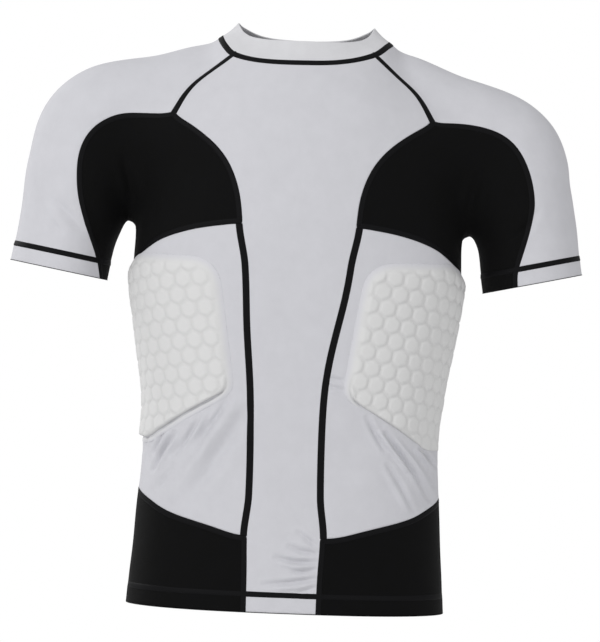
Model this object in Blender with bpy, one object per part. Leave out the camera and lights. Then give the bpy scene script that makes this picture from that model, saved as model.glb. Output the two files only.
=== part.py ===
"""Padded compression shirt, short raglan sleeves, filled out as it is worn, with no wearer.

One smooth form (torso sections and two arm tubes, blended) gives the shape that stretch cloth takes.
Every panel is a four-sided net that lies on that form between its own seams. Each net becomes a cloth
wall. Tables and sizes are in millimetres, and the meshes are made in metres.
Frame: +X the wearer's left, -Y the front, +Z up. The origin is the middle of the neck opening, level
with the shoulders' inner ends, where the wearer holds the shirt up.
"""

import math

import bmesh
import bpy
import numpy as np
from mathutils import Vector
from mathutils.bvhtree import BVHTree
from mathutils.geometry import delaunay_2d_cdt

METRES = 0.001
CLOTH = 1.5
SEAM_GAP = 0.3
# Rims that face each other across a seam are divided from the same end, the one further along this
RIM_LEAN = Vector((0.31, 0.52, 0.79))

# The form under the cloth
HEM_HEIGHT = -623.0
TORSO_SQUARENESS = 2.35
ARM_BLEND_COLUMNS = ("height", "blend")
ARM_BLEND = [(-700, 20), (-215, 20), (-165, 48), (-130, 64), (-100, 56), (-65, 26), (60, 20)]
TORSO_COLUMNS = ("height", "half_width", "front", "back")
TORSO = [
    (-680, 177, 110, 118),
    (-623, 175, 108, 114),
    (-560, 170, 106, 106),
    (-497, 165.5, 104, 98),
    (-457, 161, 104, 95),
    (-400, 161, 107, 97),
    (-320, 173, 113, 106),
    (-250, 181, 118, 114),
    (-222, 179, 120, 116),
    (-198, 176, 120, 118),
    (-150, 172, 116, 117),
    (-100, 160, 107, 112),
    (-60, 131, 95, 103),
    (-30, 109, 79, 90),
    (-12, 101, 68.1, 81),
    (2, 92, 61.2, 74),
    (12, 84, 58.2, 69.1),
    (30, 71, 55, 62),
    (60, 66, 54, 60),
]
ARM_COLUMNS = ("x", "y", "z", "radius", "depth")
ARMS = {
    "right": [
        (60, 8, -62, 54, 46),
        (98, 8, -68, 61, 52),
        (150, 6, -83, 62, 56),
        (220, 4, -101, 63, 60),
        (239, 2, -150, 62, 62),
        (248, 2, -193, 58, 61),
        (255, 1, -222, 54, 60),
        (262, 0, -263, 54, 58),
        (273, 0, -325, 52, 56),
    ],
    "left": [
        (60, 8, -62, 54, 46),
        (98, 8, -70, 61, 52),
        (150, 6, -89.5, 61, 56),
        (219, 4, -118.5, 65, 60),
        (236.5, 2, -163, 62, 62),
        (249, 2, -200, 56.5, 61),
        (254, 1, -225, 54.5, 60),
        (259, 0, -259, 55, 58),
        (276, 0, -322, 52, 56),
    ],
}
SIDES = {"right": -1, "left": 1}

# A viewer in front sees the seams at these places, measured on the plane y = 0
EYE = np.array([5.0, -4000.0, -309.0])

# Neck
NECK_HALF_WIDTH = 94.0
NECK_FRONT = 79.5
NECK_BACK = 85.0
NECK_ROUNDNESS = {"right": 2.6, "left": 2.3, "back": 2.0}
RAGLAN_FRONT_ANGLE = 50.0
RAGLAN_BACK_ANGLE = 128.0
COLLAR_HALF_WIDTH = 75.0
COLLAR_FRONT = 64.0
COLLAR_BACK = 66.0
COLLAR_CLOTH = 2.4
COLLAR_TOP_COLUMNS = ("angle", "height")
COLLAR_TOP = [(0, -5.5), (30, -4.5), (48, -2.0), (64, 4.0), (78, 12.5), (90, 16.5), (112, 14), (140, 7), (180, 4)]

# Seams, as seen from the eye: x away from the middle, then height
SEAM_COLUMNS = ("x", "height")
RAGLAN_FRONT = [(108.4, -40.2), (127.6, -55.0), (138.5, -69.3)]
CHEST_CORNER = (147.4, -87.2)
CHEST_CURVE = [
    (125.4, -96.8), (107.3, -108.2), (88.0, -123.8), (77.0, -138.6),
    (69.3, -157.3), (64.7, -178.2),
]
CENTRE_SEAM_COLUMNS = ("height", "right_x", "left_x")
CENTRE_SEAM = [
    (-203, 63, 64), (-235, 58.5, 60), (-275, 55, 55), (-322, 52, 44.5), (-361, 48, 35.5),
    (-400, 45, 32.5), (-440, 43.5, 32.5), (-490, 43, 33.5), (-549, 44.5, 36.5), (-590, 43, 35),
    (-631.8, 43, 35),
]
CHEST_CURVE_END = 0
HIP_CORNER = 8
CHEST_HEM = [(97.9, -206.8), (125.4, -212.9), (143.0, -219.5), (157.3, -227.2), (167.0, -236.5)]
HIP_TOP = [(55.0, -547.8), (83.6, -539.0), (111.1, -531.0), (136.4, -522.0), (152.0, -511.0)]
SLEEVE_FRONT = {
    "right": [
        (176.6, -87.2), (193.8, -86.9), (211.1, -90.2), (225.5, -98.5), (237.0, -109.6),
        (245.0, -129.0), (246.2, -157.9), (243.3, -181.9), (237.6, -201.5), (230.1, -221.4),
        (223.5, -237.2), (218.4, -253.0),
    ],
    "left": [
        (167.2, -85.3), (187.6, -86.0), (205.6, -89.0), (221.4, -94.4), (235.4, -105.1),
        (245.0, -119.1), (254.0, -142.0), (258.3, -172.0), (255.6, -193.1), (250.7, -211.2),
        (244.8, -231.7), (240.5, -247.6),
    ],
}
CUFF_FRONT_ANGLE = {"right": 152.0, "left": 111.0}
CUFF_BACK_ANGLE = 200.0
CUFF_STATION = 7
UNDERARM_PLACES = [6.0, 6.5]
UNDERARM_ANGLES = [186.0, 194.0]

# The side seam runs just in front of the outline at armpit and hip, and behind the pad between them
SIDE_SEAM_COLUMNS = ("height", "angle")
SIDE_SEAM = [
    (-623, 84), (-560, 84), (-494, 87), (-462, 97), (-420, 108), (-370, 113),
    (-320, 110), (-280, 97), (-253, 84), (-232, 83), (-212, 85),
]
SIDE_SEAM_HIP = 2
SIDE_SEAM_CHEST = 8
ARMPIT = (188.0, -4.0)
RAGLAN_BACK = [(103, -52), (130, -92), (152, -132), (168, -165)]

# How many lengths each seam is divided into
FRONT_COLUMNS = 8
BACK_COLUMNS = 12
SIDE_COLUMNS = 10
SLEEVE_COLUMNS = 14
CHEST_ROWS = 7
SIDE_ROWS = 12
HIP_ROWS = 4
RAGLAN_ROWS = 5
ARMPIT_ROWS = 4
UNDERARM_ROWS = 7
COLLAR_ROWS = 2
SLEEVE_FRONT_ROWS = SIDE_COLUMNS + ARMPIT_ROWS + UNDERARM_ROWS
RAGLAN_BACK_ROWS = RAGLAN_ROWS + SIDE_COLUMNS + ARMPIT_ROWS
RELAX_PASSES = 60

# Folds that hang from the lower edge of each pad, in the side panels
FOLD_COLUMNS = ("x", "height", "x_end", "height_end", "width", "depth")
FOLDS = [
    (160, -449, 128, -505, 13, 2.6),
    (150, -440, 92, -500, 15, 2.4),
    (118, -430, 76, -480, 13, 1.6),
]

FOLD_FADE = 40.0

# Rib pads: a rounded slab with honeycomb cells, wrapped round the side
PAD_SEAT = 0.8
PAD_EDGE = 1.6
PAD_FLANGE = 2.8
PAD_CELL_EDGE = 5.6
PAD_CELL_TOP = 6.8
PAD_BEVEL = 3.0
CELL_PITCH = 19.0
CELL_TOP_SHARE = 0.74
CELL_LEAN_DEGREES = 9.0
CELL_ORIGIN = {"right": (128.5, -353.7), "left": (140.2, -347.6)}
PAD_SECTION_HEIGHT = -335.0
PAD_CORNER_COLUMNS = ("along", "height", "radius")
PAD_CORNERS = [
    (75, -243, 38), (59, -389, 24), (172, -448, 40), (262, -450, 24), (262, -260, 30), (180, -240, 60),
]
PAD_STEP = 12.0
PAD_SHIFT = {"right": 5.0, "left": -5.0}

COLOURS = {
    "grey": (0.56, 0.56, 0.60, 1.0),
    "black": (0.008, 0.008, 0.009, 1.0),
    "pad": (0.72, 0.72, 0.73, 1.0),
    "band": (0.64, 0.64, 0.67, 1.0),
}


# Reading tables and curves


def read_table(rows, column, where):
    """Value of one column at the given places in the first, on a smooth curve through the rows."""
    keys = np.array([row[0] for row in rows], dtype=float)
    values = np.array([row[column] for row in rows], dtype=float)
    slopes = np.gradient(values, keys)
    where = np.clip(where, keys[0], keys[-1])
    below = np.clip(np.searchsorted(keys, where, side="right") - 1, 0, len(keys) - 2)
    width = keys[below + 1] - keys[below]
    part = (where - keys[below]) / width
    rest = 1.0 - part
    ends = values[below] * rest * rest * (1 + 2 * part) + values[below + 1] * part * part * (3 - 2 * part)
    turns = slopes[below] * rest * rest * part - slopes[below + 1] * part * part * rest
    return ends + width * turns


def lengths_along(points):
    """Distance from the start to each point of a line."""
    steps = np.linalg.norm(np.diff(points, axis=0), axis=1)
    return np.concatenate([[0.0], np.cumsum(steps)])


def divide(points, count):
    """Points at equal distances along a line, ends kept."""
    run = lengths_along(points)
    places = np.linspace(0.0, run[-1], count + 1)
    return np.stack([np.interp(places, run, points[:, axis]) for axis in range(points.shape[1])], axis=1)


def rounded_line(points, count=80):
    """A smooth line through a few points."""
    points = np.array(points, dtype=float)
    run = lengths_along(points)
    rows = np.column_stack([run, points])
    places = np.linspace(0.0, run[-1], count)
    return np.stack([read_table(rows, axis + 1, places) for axis in range(points.shape[1])], axis=1)


# The form that the cloth is drawn over


def arm_axis(side):
    """Middle line of one arm with its two half widths, finely divided."""
    stations = ARMS[side]
    rows = [(place, *station) for place, station in enumerate(stations)]
    places = np.linspace(0.0, len(stations) - 1.0, 97)
    table = np.stack([read_table(rows, column, places) for column in range(1, 6)], axis=1)
    table[:, 0] *= SIDES[side]
    centre = table[:, :3]
    along = np.gradient(centre, axis=0)
    along[:, 1] = 0.0
    along /= np.linalg.norm(along, axis=1)[:, None]
    outward = np.stack([-along[:, 2], np.zeros(len(along)), along[:, 0]], axis=1) * SIDES[side]
    return {"places": places, "centre": centre, "size": table[:, 3:], "along": along, "outward": outward}


AXES = {side: arm_axis(side) for side in SIDES}


def torso_distance(points):
    """Distance of points outside the torso's sections, along their own height."""
    x, y, z = points[:, 0], points[:, 1], points[:, 2]
    half = read_table(TORSO, 1, z)
    depth = np.where(y < 0, read_table(TORSO, 2, z), read_table(TORSO, 3, z))
    power = TORSO_SQUARENESS
    ratio = ((np.abs(x) / half) ** power + (np.abs(y) / depth) ** power) ** (1.0 / power)
    reach = np.hypot(x, y)
    return reach - reach / np.maximum(ratio, 1e-4)


def arm_distance(points, side):
    """Distance of points outside one arm tube."""
    axis = AXES[side]
    centre = axis["centre"]
    apart = (points[:, None, 0] - centre[None, :, 0]) ** 2 + (points[:, None, 2] - centre[None, :, 2]) ** 2
    nearest = np.argmin(apart, axis=1)
    step = np.linalg.norm(np.diff(centre, axis=0), axis=1)[np.minimum(nearest, len(centre) - 2)]
    ahead = np.sum((points - centre[nearest]) * axis["along"][nearest], axis=1) / step
    place = np.clip(nearest + np.clip(ahead, -1.0, 1.0), 0.0, len(centre) - 1.0)
    low = np.minimum(place.astype(int), len(centre) - 2)
    share = (place - low)[:, None]

    def between(values):
        return values[low] * (1 - share) + values[low + 1] * share

    offset = points - between(centre)
    along = np.sum(offset * between(axis["along"]), axis=1)
    outward = np.sum(offset * between(axis["outward"]), axis=1)
    size = between(axis["size"])
    ratio = np.sqrt((outward ** 2 + along ** 2) / size[:, 0] ** 2 + offset[:, 1] ** 2 / size[:, 1] ** 2)
    reach = np.sqrt(outward ** 2 + along ** 2 + offset[:, 1] ** 2)
    return reach - reach / np.maximum(ratio, 1e-4)


def soft_least(first, second, blend):
    """The smaller of two distances, rounded where they are nearly equal."""
    near = np.maximum(blend - np.abs(first - second), 0.0) / blend
    return np.minimum(first, second) - near * near * blend / 4.0


def seen_place(points):
    """Where the eye sees points, measured on the plane y = 0."""
    scale = -EYE[1] / (points[:, 1] - EYE[1])
    return np.stack([EYE[0] + (points[:, 0] - EYE[0]) * scale, EYE[2] + (points[:, 2] - EYE[2]) * scale], axis=1)


def fold_height(points):
    """How far the folds below the pads lift the cloth."""
    seen = seen_place(points)
    seen[:, 0] = np.abs(seen[:, 0])
    lift = np.zeros(len(points))
    for x, height, x_end, height_end, width, depth in FOLDS:
        start = np.array([x, height], dtype=float)
        run = np.array([x_end - x, height_end - height], dtype=float)
        part = np.clip((seen - start) @ run / (run @ run), 0.0, 1.0)
        away = np.linalg.norm(seen - start - part[:, None] * run, axis=1)
        lift += depth * np.exp(-(away / width) ** 2)
    return lift * np.clip((FOLD_FADE - points[:, 1]) / (2 * FOLD_FADE), 0.0, 1.0)


def form_distance(points):
    """Distance of points outside the whole form."""
    body = torso_distance(points) - fold_height(points)
    blend = read_table(ARM_BLEND, 1, points[:, 2])
    for side in SIDES:
        body = soft_least(body, arm_distance(points, side), blend)
    return body


def form_slope(points, step=0.4):
    """Gradient of the form's distance."""
    slope = np.zeros_like(points)
    for axis in range(3):
        nudge = np.zeros(3)
        nudge[axis] = step
        slope[:, axis] = (form_distance(points + nudge) - form_distance(points - nudge)) / (2 * step)
    return slope


def form_normals(points):
    slope = form_slope(points)
    return slope / np.linalg.norm(slope, axis=1)[:, None]


def settle(points, passes=5):
    """Points moved onto the form along its slope."""
    shape = points.shape
    points = points.reshape(-1, 3).copy()
    for _ in range(passes):
        slope = form_slope(points)
        steep = np.maximum(np.sum(slope * slope, axis=1), 0.05)
        points -= (form_distance(points) / steep)[:, None] * slope
    return points.reshape(shape)


def march(starts, directions, outward):
    """Points where rays cross the form, from inside it or from outside it."""
    directions = directions / np.linalg.norm(directions, axis=1)[:, None]
    points = starts.copy()
    for _ in range(160):
        gap = form_distance(points)
        points = points + directions * (gap * (-0.6 if outward else 0.6))[:, None]
    return points


def seen_on_form(places, back=False):
    """Points of the form that the eye sees at the given places, or sees from behind."""
    places = np.array(places, dtype=float)
    eye = EYE * np.array([1, -1, 1]) if back else EYE
    targets = np.stack([places[:, 0], np.zeros(len(places)), places[:, 1]], axis=1)
    rays = targets - eye
    starts = eye + rays * (1 - 260.0 / abs(EYE[1]))
    return march(starts, rays, outward=False)


def round_torso(angles, heights):
    """Points of the form at angles from the front, for heights below the armpits."""
    angles = np.radians(np.array(angles, dtype=float))
    heights = np.array(heights, dtype=float) + np.zeros(len(angles))
    rays = np.stack([np.sin(angles), -np.cos(angles), np.zeros(len(angles))], axis=1)
    starts = rays * 60.0
    starts[:, 2] = heights
    return march(starts, rays, outward=True)


def round_arm(side, places, angles):
    """Points of the form round an arm; angle 0 is away from the torso and 90 is the front."""
    axis = AXES[side]
    places = np.array(places, dtype=float) + np.zeros(len(angles))
    angles = np.radians(np.array(angles, dtype=float)) + np.zeros(len(places))

    def at(values):
        return np.stack([np.interp(places, axis["places"], values[:, k]) for k in range(3)], axis=1)

    front = np.array([0.0, -1.0, 0.0])
    rays = at(axis["outward"]) * np.cos(angles)[:, None] + front * np.sin(angles)[:, None]
    return march(at(axis["centre"]) + rays * 12.0, rays, outward=True)


def round_neck(angles):
    """Points of the form on the neck seam, at angles from the front."""
    angles = np.radians(np.array(angles, dtype=float))
    ahead, aside = np.cos(angles), np.sin(angles)
    power = np.where(aside < 0, NECK_ROUNDNESS["right"], NECK_ROUNDNESS["left"])
    power = np.where(ahead > 0, power, NECK_ROUNDNESS["back"])
    fuller = (np.abs(ahead) ** power + np.abs(aside) ** power) ** (-1 / power)
    across = NECK_HALF_WIDTH * aside * fuller
    depth = -ahead * np.where(ahead > 0, NECK_FRONT, NECK_BACK) * fuller
    starts = np.stack([across, depth, np.full(len(angles), 80.0)], axis=1)
    return march(starts, np.tile([0.0, 0.0, -1.0], (len(angles), 1)), outward=False)


# Seams


def seams_of(side):
    """Every seam line on one half of the shirt, each divided as the panels beside it need."""
    sign = SIDES[side]
    seams = {}

    def mirrored(rows):
        return [(sign * x, z) for x, z in rows]

    def lay(name, points, count):
        line = settle(rounded_line(points) if len(points) > 2 else divide(np.array(points), 40))
        seams[name] = divide(line, count)
        seams[name][0] = points[0]
        seams[name][-1] = points[-1]

    column = 1 if side == "right" else 2
    centre = seen_on_form([(sign * row[column], row[0]) for row in CENTRE_SEAM])
    centre[-1] = march(
        np.array([[centre[-1][0] * 0.5, -40.0, HEM_HEIGHT]]),
        np.array([[centre[-1][0] * 0.5, centre[-1][1] + 40.0, 0.0]]),
        outward=True,
    )[0]
    corner = seen_on_form(mirrored([CHEST_CORNER]))[0]
    chest_end = centre[CHEST_CURVE_END]
    hip_corner = centre[HIP_CORNER]
    neck_front = round_neck([sign * RAGLAN_FRONT_ANGLE])[0]
    neck_back = round_neck([sign * RAGLAN_BACK_ANGLE])[0]
    side_line = round_torso([sign * row[1] for row in SIDE_SEAM], [row[0] for row in SIDE_SEAM])
    side_hip = side_line[SIDE_SEAM_HIP]
    side_chest = side_line[SIDE_SEAM_CHEST]
    armpit = march(
        np.array([[sign * ARMPIT[0], ARMPIT[1], -290.0]]), np.array([[0.0, 0.0, 1.0]]), outward=False
    )[0]
    cuff_front = round_arm(side, [CUFF_STATION], [CUFF_FRONT_ANGLE[side]])[0]
    cuff_back = round_arm(side, [CUFF_STATION], [CUFF_BACK_ANGLE])[0]

    lay("raglan_front", [neck_front, *seen_on_form(mirrored(RAGLAN_FRONT)), corner], RAGLAN_ROWS)
    lay("chest_curve", [corner, *seen_on_form(mirrored(CHEST_CURVE)), chest_end], CHEST_ROWS)
    lay("centre_side", centre[CHEST_CURVE_END:HIP_CORNER + 1], SIDE_ROWS)
    lay("centre_hip", centre[HIP_CORNER:], HIP_ROWS)
    lay("chest_hem", [chest_end, *seen_on_form(mirrored(CHEST_HEM)), side_chest], SIDE_COLUMNS)
    lay("side_top", [*side_line[SIDE_SEAM_CHEST:], armpit], ARMPIT_ROWS)
    lay("hip_top", [hip_corner, *seen_on_form(mirrored(HIP_TOP)), side_hip], SIDE_COLUMNS)
    lay("side_seam", side_line[SIDE_SEAM_HIP:SIDE_SEAM_CHEST + 1][::-1], SIDE_ROWS)
    lay("side_hip", side_line[:SIDE_SEAM_HIP + 1][::-1], HIP_ROWS)
    lay("sleeve_front", [corner, *seen_on_form(mirrored(SLEEVE_FRONT[side])), cuff_front], SLEEVE_FRONT_ROWS)
    inner = round_arm(side, UNDERARM_PLACES, UNDERARM_ANGLES)
    lay("underarm", [armpit, *inner, cuff_back], UNDERARM_ROWS)
    behind = seen_on_form(mirrored(RAGLAN_BACK), back=True)
    lay("raglan_back", [neck_back, *behind, armpit], RAGLAN_BACK_ROWS)
    seams["cuff_black"] = round_arm(
        side, [CUFF_STATION], np.linspace(CUFF_FRONT_ANGLE[side], CUFF_BACK_ANGLE, CHEST_ROWS + 1)
    )
    seams["cuff_sleeve"] = round_arm(
        side, [CUFF_STATION], np.linspace(CUFF_FRONT_ANGLE[side], CUFF_BACK_ANGLE - 360.0, SLEEVE_COLUMNS + 1)
    )
    seams["neck_sleeve"] = round_neck(
        sign * np.linspace(RAGLAN_FRONT_ANGLE, RAGLAN_BACK_ANGLE, SLEEVE_COLUMNS + 1)
    )
    front_angle = math.degrees(math.atan2(abs(centre[-1][0]), -centre[-1][1]))
    seams["hem_hip"] = round_torso(
        sign * np.linspace(front_angle, SIDE_SEAM[0][1], SIDE_COLUMNS + 1), HEM_HEIGHT
    )
    seams["hem_angle"] = sign * front_angle
    return seams


# Nets between the seams


def spread(bottom, top, left, right):
    """Net of points between four edge lines."""
    rows = len(left)
    columns = len(bottom)
    up = np.linspace(0.0, 1.0, rows)[:, None, None]
    over = np.linspace(0.0, 1.0, columns)[None, :, None]
    between_sides = left[:, None] * (1 - over) + right[:, None] * over
    between_ends = bottom[None] * (1 - up) + top[None] * up
    corners = (bottom[0] * (1 - up) + top[0] * up) * (1 - over) + (bottom[-1] * (1 - up) + top[-1] * up) * over
    return between_sides + between_ends - corners


def spread_round(bottom, top, left, right, facing):
    """The same for edges round the torso, worked in angle, height and reach."""

    def rounded(line):
        angle = np.arctan2(line[:, 0], facing * line[:, 1])
        return np.stack([angle, line[:, 2], np.hypot(line[:, 0], line[:, 1])], axis=1)

    net = spread(rounded(bottom), rounded(top), rounded(left), rounded(right))
    across = np.sin(net[..., 0]) * net[..., 2]
    depth = facing * np.cos(net[..., 0]) * net[..., 2]
    return np.stack([across, depth, net[..., 1]], axis=-1)


def relax(net, passes=RELAX_PASSES):
    """Inside points evened out, and kept on the form."""
    net = net.copy()
    net[1:-1, 1:-1] = settle(net[1:-1, 1:-1], 6)
    for _ in range(passes):
        middle = (net[:-2, 1:-1] + net[2:, 1:-1] + net[1:-1, :-2] + net[1:-1, 2:]) / 4.0
        net[1:-1, 1:-1] = settle(middle, 1)
    net[1:-1, 1:-1] = settle(net[1:-1, 1:-1], 4)
    return net


def eased(net, passes=5):
    """Sharp single points pressed out of a net, without drawing the net in."""
    net = net.copy()
    for share in (0.5, -0.52) * passes:
        middle = (net[:-2, 1:-1] + net[2:, 1:-1] + net[1:-1, :-2] + net[1:-1, 2:]) / 4.0
        net[1:-1, 1:-1] += share * (middle - net[1:-1, 1:-1])
    return net


def joined(*lines):
    """Lines end to end, each starting where the last one ends."""
    return np.concatenate([lines[0], *[line[1:] for line in lines[1:]]])


def sleeve_net(side, seams):
    """The shoulder and sleeve panel, laid over guide lines along the arm first."""
    rows = RAGLAN_ROWS + SLEEVE_FRONT_ROWS
    front = joined(seams["raglan_front"], seams["sleeve_front"])
    back = joined(seams["raglan_back"], seams["underarm"])
    guides = []
    for angle, column in ((70.0, 4), (0.0, 7), (-75.0, 10)):
        over = round_arm(side, np.linspace(1.7, CUFF_STATION, 40), np.full(40, angle))
        guides.append(divide(np.concatenate([seams["neck_sleeve"][column][None], over]), rows))
    known = [front, *guides, back]
    columns = [0, 4, 7, 10, SLEEVE_COLUMNS]
    net = np.zeros((rows + 1, SLEEVE_COLUMNS + 1, 3))
    for (first, start), (last, stop) in zip(zip(known[:-1], columns[:-1]), zip(known[1:], columns[1:])):
        for column in range(start, stop + 1):
            share = (column - start) / (stop - start)
            net[:, column] = first * (1 - share) + last * share
    net[0] = seams["neck_sleeve"]
    net[-1] = seams["cuff_sleeve"]
    return relax(net)


def all_nets():
    """One net for each cloth panel, keyed by panel name."""
    seams = {side: seams_of(side) for side in SIDES}
    right, left = seams["right"], seams["left"]

    def up_front(half):
        return joined(
            half["centre_hip"][::-1], half["centre_side"][::-1],
            half["chest_curve"][::-1], half["raglan_front"][::-1],
        )

    def up_back(half):
        return joined(
            half["side_hip"][::-1], half["side_seam"][::-1],
            half["side_top"], half["raglan_back"][::-1],
        )

    hem_front = round_torso(np.linspace(right["hem_angle"], left["hem_angle"], FRONT_COLUMNS + 1), HEM_HEIGHT)
    neck_front = round_neck(np.linspace(-RAGLAN_FRONT_ANGLE, RAGLAN_FRONT_ANGLE, FRONT_COLUMNS + 1))
    side_angle = SIDE_SEAM[0][1]
    hem_back = round_torso(np.linspace(-side_angle, side_angle - 360.0, BACK_COLUMNS + 1), HEM_HEIGHT)
    neck_back = round_neck(np.linspace(-RAGLAN_BACK_ANGLE, RAGLAN_BACK_ANGLE - 360.0, BACK_COLUMNS + 1))
    nets = {
        "front_panel": relax(spread_round(hem_front, neck_front, up_front(right), up_front(left), -1)),
        "back_panel": relax(spread_round(hem_back, neck_back, up_back(right), up_back(left), 1)),
    }
    for side, half in seams.items():
        nets["side_panel_" + side] = relax(spread_round(
            half["hip_top"], half["chest_hem"], half["centre_side"][::-1], half["side_seam"][::-1], -1
        ))
        nets["hip_panel_" + side] = relax(spread_round(
            half["hem_hip"], half["hip_top"], half["centre_hip"][::-1], half["side_hip"][::-1], -1
        ))
        inner_edge = joined(half["chest_hem"], half["side_top"], half["underarm"])
        nets["chest_underarm_panel_" + side] = eased(relax(spread(
            half["chest_curve"][::-1], half["cuff_black"][::-1], inner_edge, half["sleeve_front"]
        )))
        nets["shoulder_sleeve_" + side] = sleeve_net(side, half)
    return nets, seams


# Cloth walls made from nets


def edge_directions(line, normals, toward):
    """Directions in the cloth, square to an edge line and pointing into the panel, one for each length."""
    run = np.diff(line, axis=0)
    across = np.cross((normals[:-1] + normals[1:]) / 2.0, run)
    across /= np.linalg.norm(across, axis=1)[:, None]
    inward = (toward[:-1] + toward[1:] - line[:-1] - line[1:]) / 2.0
    return across * np.sign(np.sum(across * inward, axis=1))[:, None]


def mitre(first, second):
    """Step that moves a corner off both of its edges by one."""
    total = first + second
    return total / np.maximum(1.0 + np.sum(first * second, axis=-1, keepdims=True), 0.35)


def drawn_in(net, normals, gap):
    """The net with its four edges moved into the panel."""
    result = net.copy()
    edges = {
        "bottom": edge_directions(net[0], normals[0], net[1]),
        "top": edge_directions(net[-1], normals[-1], net[-2]),
        "left": edge_directions(net[:, 0], normals[:, 0], net[:, 1]),
        "right": edge_directions(net[:, -1], normals[:, -1], net[:, -2]),
    }
    result[0, 1:-1] += gap * mitre(edges["bottom"][:-1], edges["bottom"][1:])
    result[-1, 1:-1] += gap * mitre(edges["top"][:-1], edges["top"][1:])
    result[1:-1, 0] += gap * mitre(edges["left"][:-1], edges["left"][1:])
    result[1:-1, -1] += gap * mitre(edges["right"][:-1], edges["right"][1:])
    result[0, 0] += gap * mitre(edges["bottom"][0], edges["left"][0])
    result[0, -1] += gap * mitre(edges["bottom"][-1], edges["right"][0])
    result[-1, 0] += gap * mitre(edges["top"][0], edges["left"][-1])
    result[-1, -1] += gap * mitre(edges["top"][-1], edges["right"][-1])
    return result


def material_for(name, colour, roughness):
    material = bpy.data.materials.new(name)
    material.use_nodes = True
    shader = material.node_tree.nodes["Principled BSDF"]
    shader.inputs["Base Color"].default_value = COLOURS[colour]
    shader.inputs["Roughness"].default_value = roughness
    material.diffuse_color = COLOURS[colour]
    return material


def finished(name, mesh, colour, roughness, collection):
    """A mesh in metres turned into a named object with its own material."""
    bmesh.ops.recalc_face_normals(mesh, faces=mesh.faces[:])
    if mesh.calc_volume(signed=True) < 0:
        bmesh.ops.reverse_faces(mesh, faces=mesh.faces[:])
    data = bpy.data.meshes.new(name)
    mesh.to_mesh(data)
    mesh.free()
    data.materials.append(material_for(name + "_material", colour, roughness))
    part = bpy.data.objects.new(name, data)
    collection.objects.link(part)
    return part


def split_quad(mesh, corners):
    """Two triangles along the shorter diagonal."""
    first = (corners[0].co - corners[2].co).length
    second = (corners[1].co - corners[3].co).length
    if first <= second:
        mesh.faces.new((corners[0], corners[1], corners[2]))
        mesh.faces.new((corners[0], corners[2], corners[3]))
    else:
        mesh.faces.new((corners[0], corners[1], corners[3]))
        mesh.faces.new((corners[1], corners[2], corners[3]))
    return first <= second


def wall_from(name, outer, inner, colour, roughness, collection, ring=False):
    """A closed wall between an outer net and an inner net."""
    mesh = bmesh.new()
    rows, columns = outer.shape[:2]
    layers = []
    for net in (outer, inner):
        layers.append([[mesh.verts.new(Vector(point) * METRES) for point in row] for row in net])
    around = columns if ring else columns - 1
    for row in range(rows - 1):
        for column in range(around):
            after = (column + 1) % columns
            picks = [(row, column), (row, after), (row + 1, after), (row + 1, column)]
            corners = [layers[0][i][j] for i, j in picks]
            below = [layers[1][i][j] for i, j in picks]
            if split_quad(mesh, corners):
                mesh.faces.new((below[0], below[2], below[1]))
                mesh.faces.new((below[0], below[3], below[2]))
            else:
                mesh.faces.new((below[0], below[3], below[1]))
                mesh.faces.new((below[1], below[3], below[2]))
    rim = [[(0, j), (0, (j + 1) % columns)] for j in range(around)]
    rim += [[(rows - 1, (j + 1) % columns), (rows - 1, j)] for j in range(around)]
    if not ring:
        rim += [[(i + 1, 0), (i, 0)] for i in range(rows - 1)]
        rim += [[(i, columns - 1), (i + 1, columns - 1)] for i in range(rows - 1)]
    for start, stop in rim:
        first, last = layers[0][start[0]][start[1]], layers[0][stop[0]][stop[1]]
        first_in, last_in = layers[1][start[0]][start[1]], layers[1][stop[0]][stop[1]]
        if (first.co - last.co).dot(RIM_LEAN) > 0:
            mesh.faces.new((last, first, first_in))
            mesh.faces.new((last, first_in, last_in))
        else:
            mesh.faces.new((last, first, last_in))
            mesh.faces.new((first, first_in, last_in))
    return finished(name, mesh, colour, roughness, collection)


def cloth_panel(name, net, colour, collection):
    """One cut panel: its net drawn in at the seams, with the cloth's thickness inward."""
    normals = form_normals(net.reshape(-1, 3)).reshape(net.shape)
    outer = drawn_in(net, normals, SEAM_GAP / 2.0)
    return wall_from(name, outer, outer - CLOTH * normals, colour, 0.85, collection)


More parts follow.
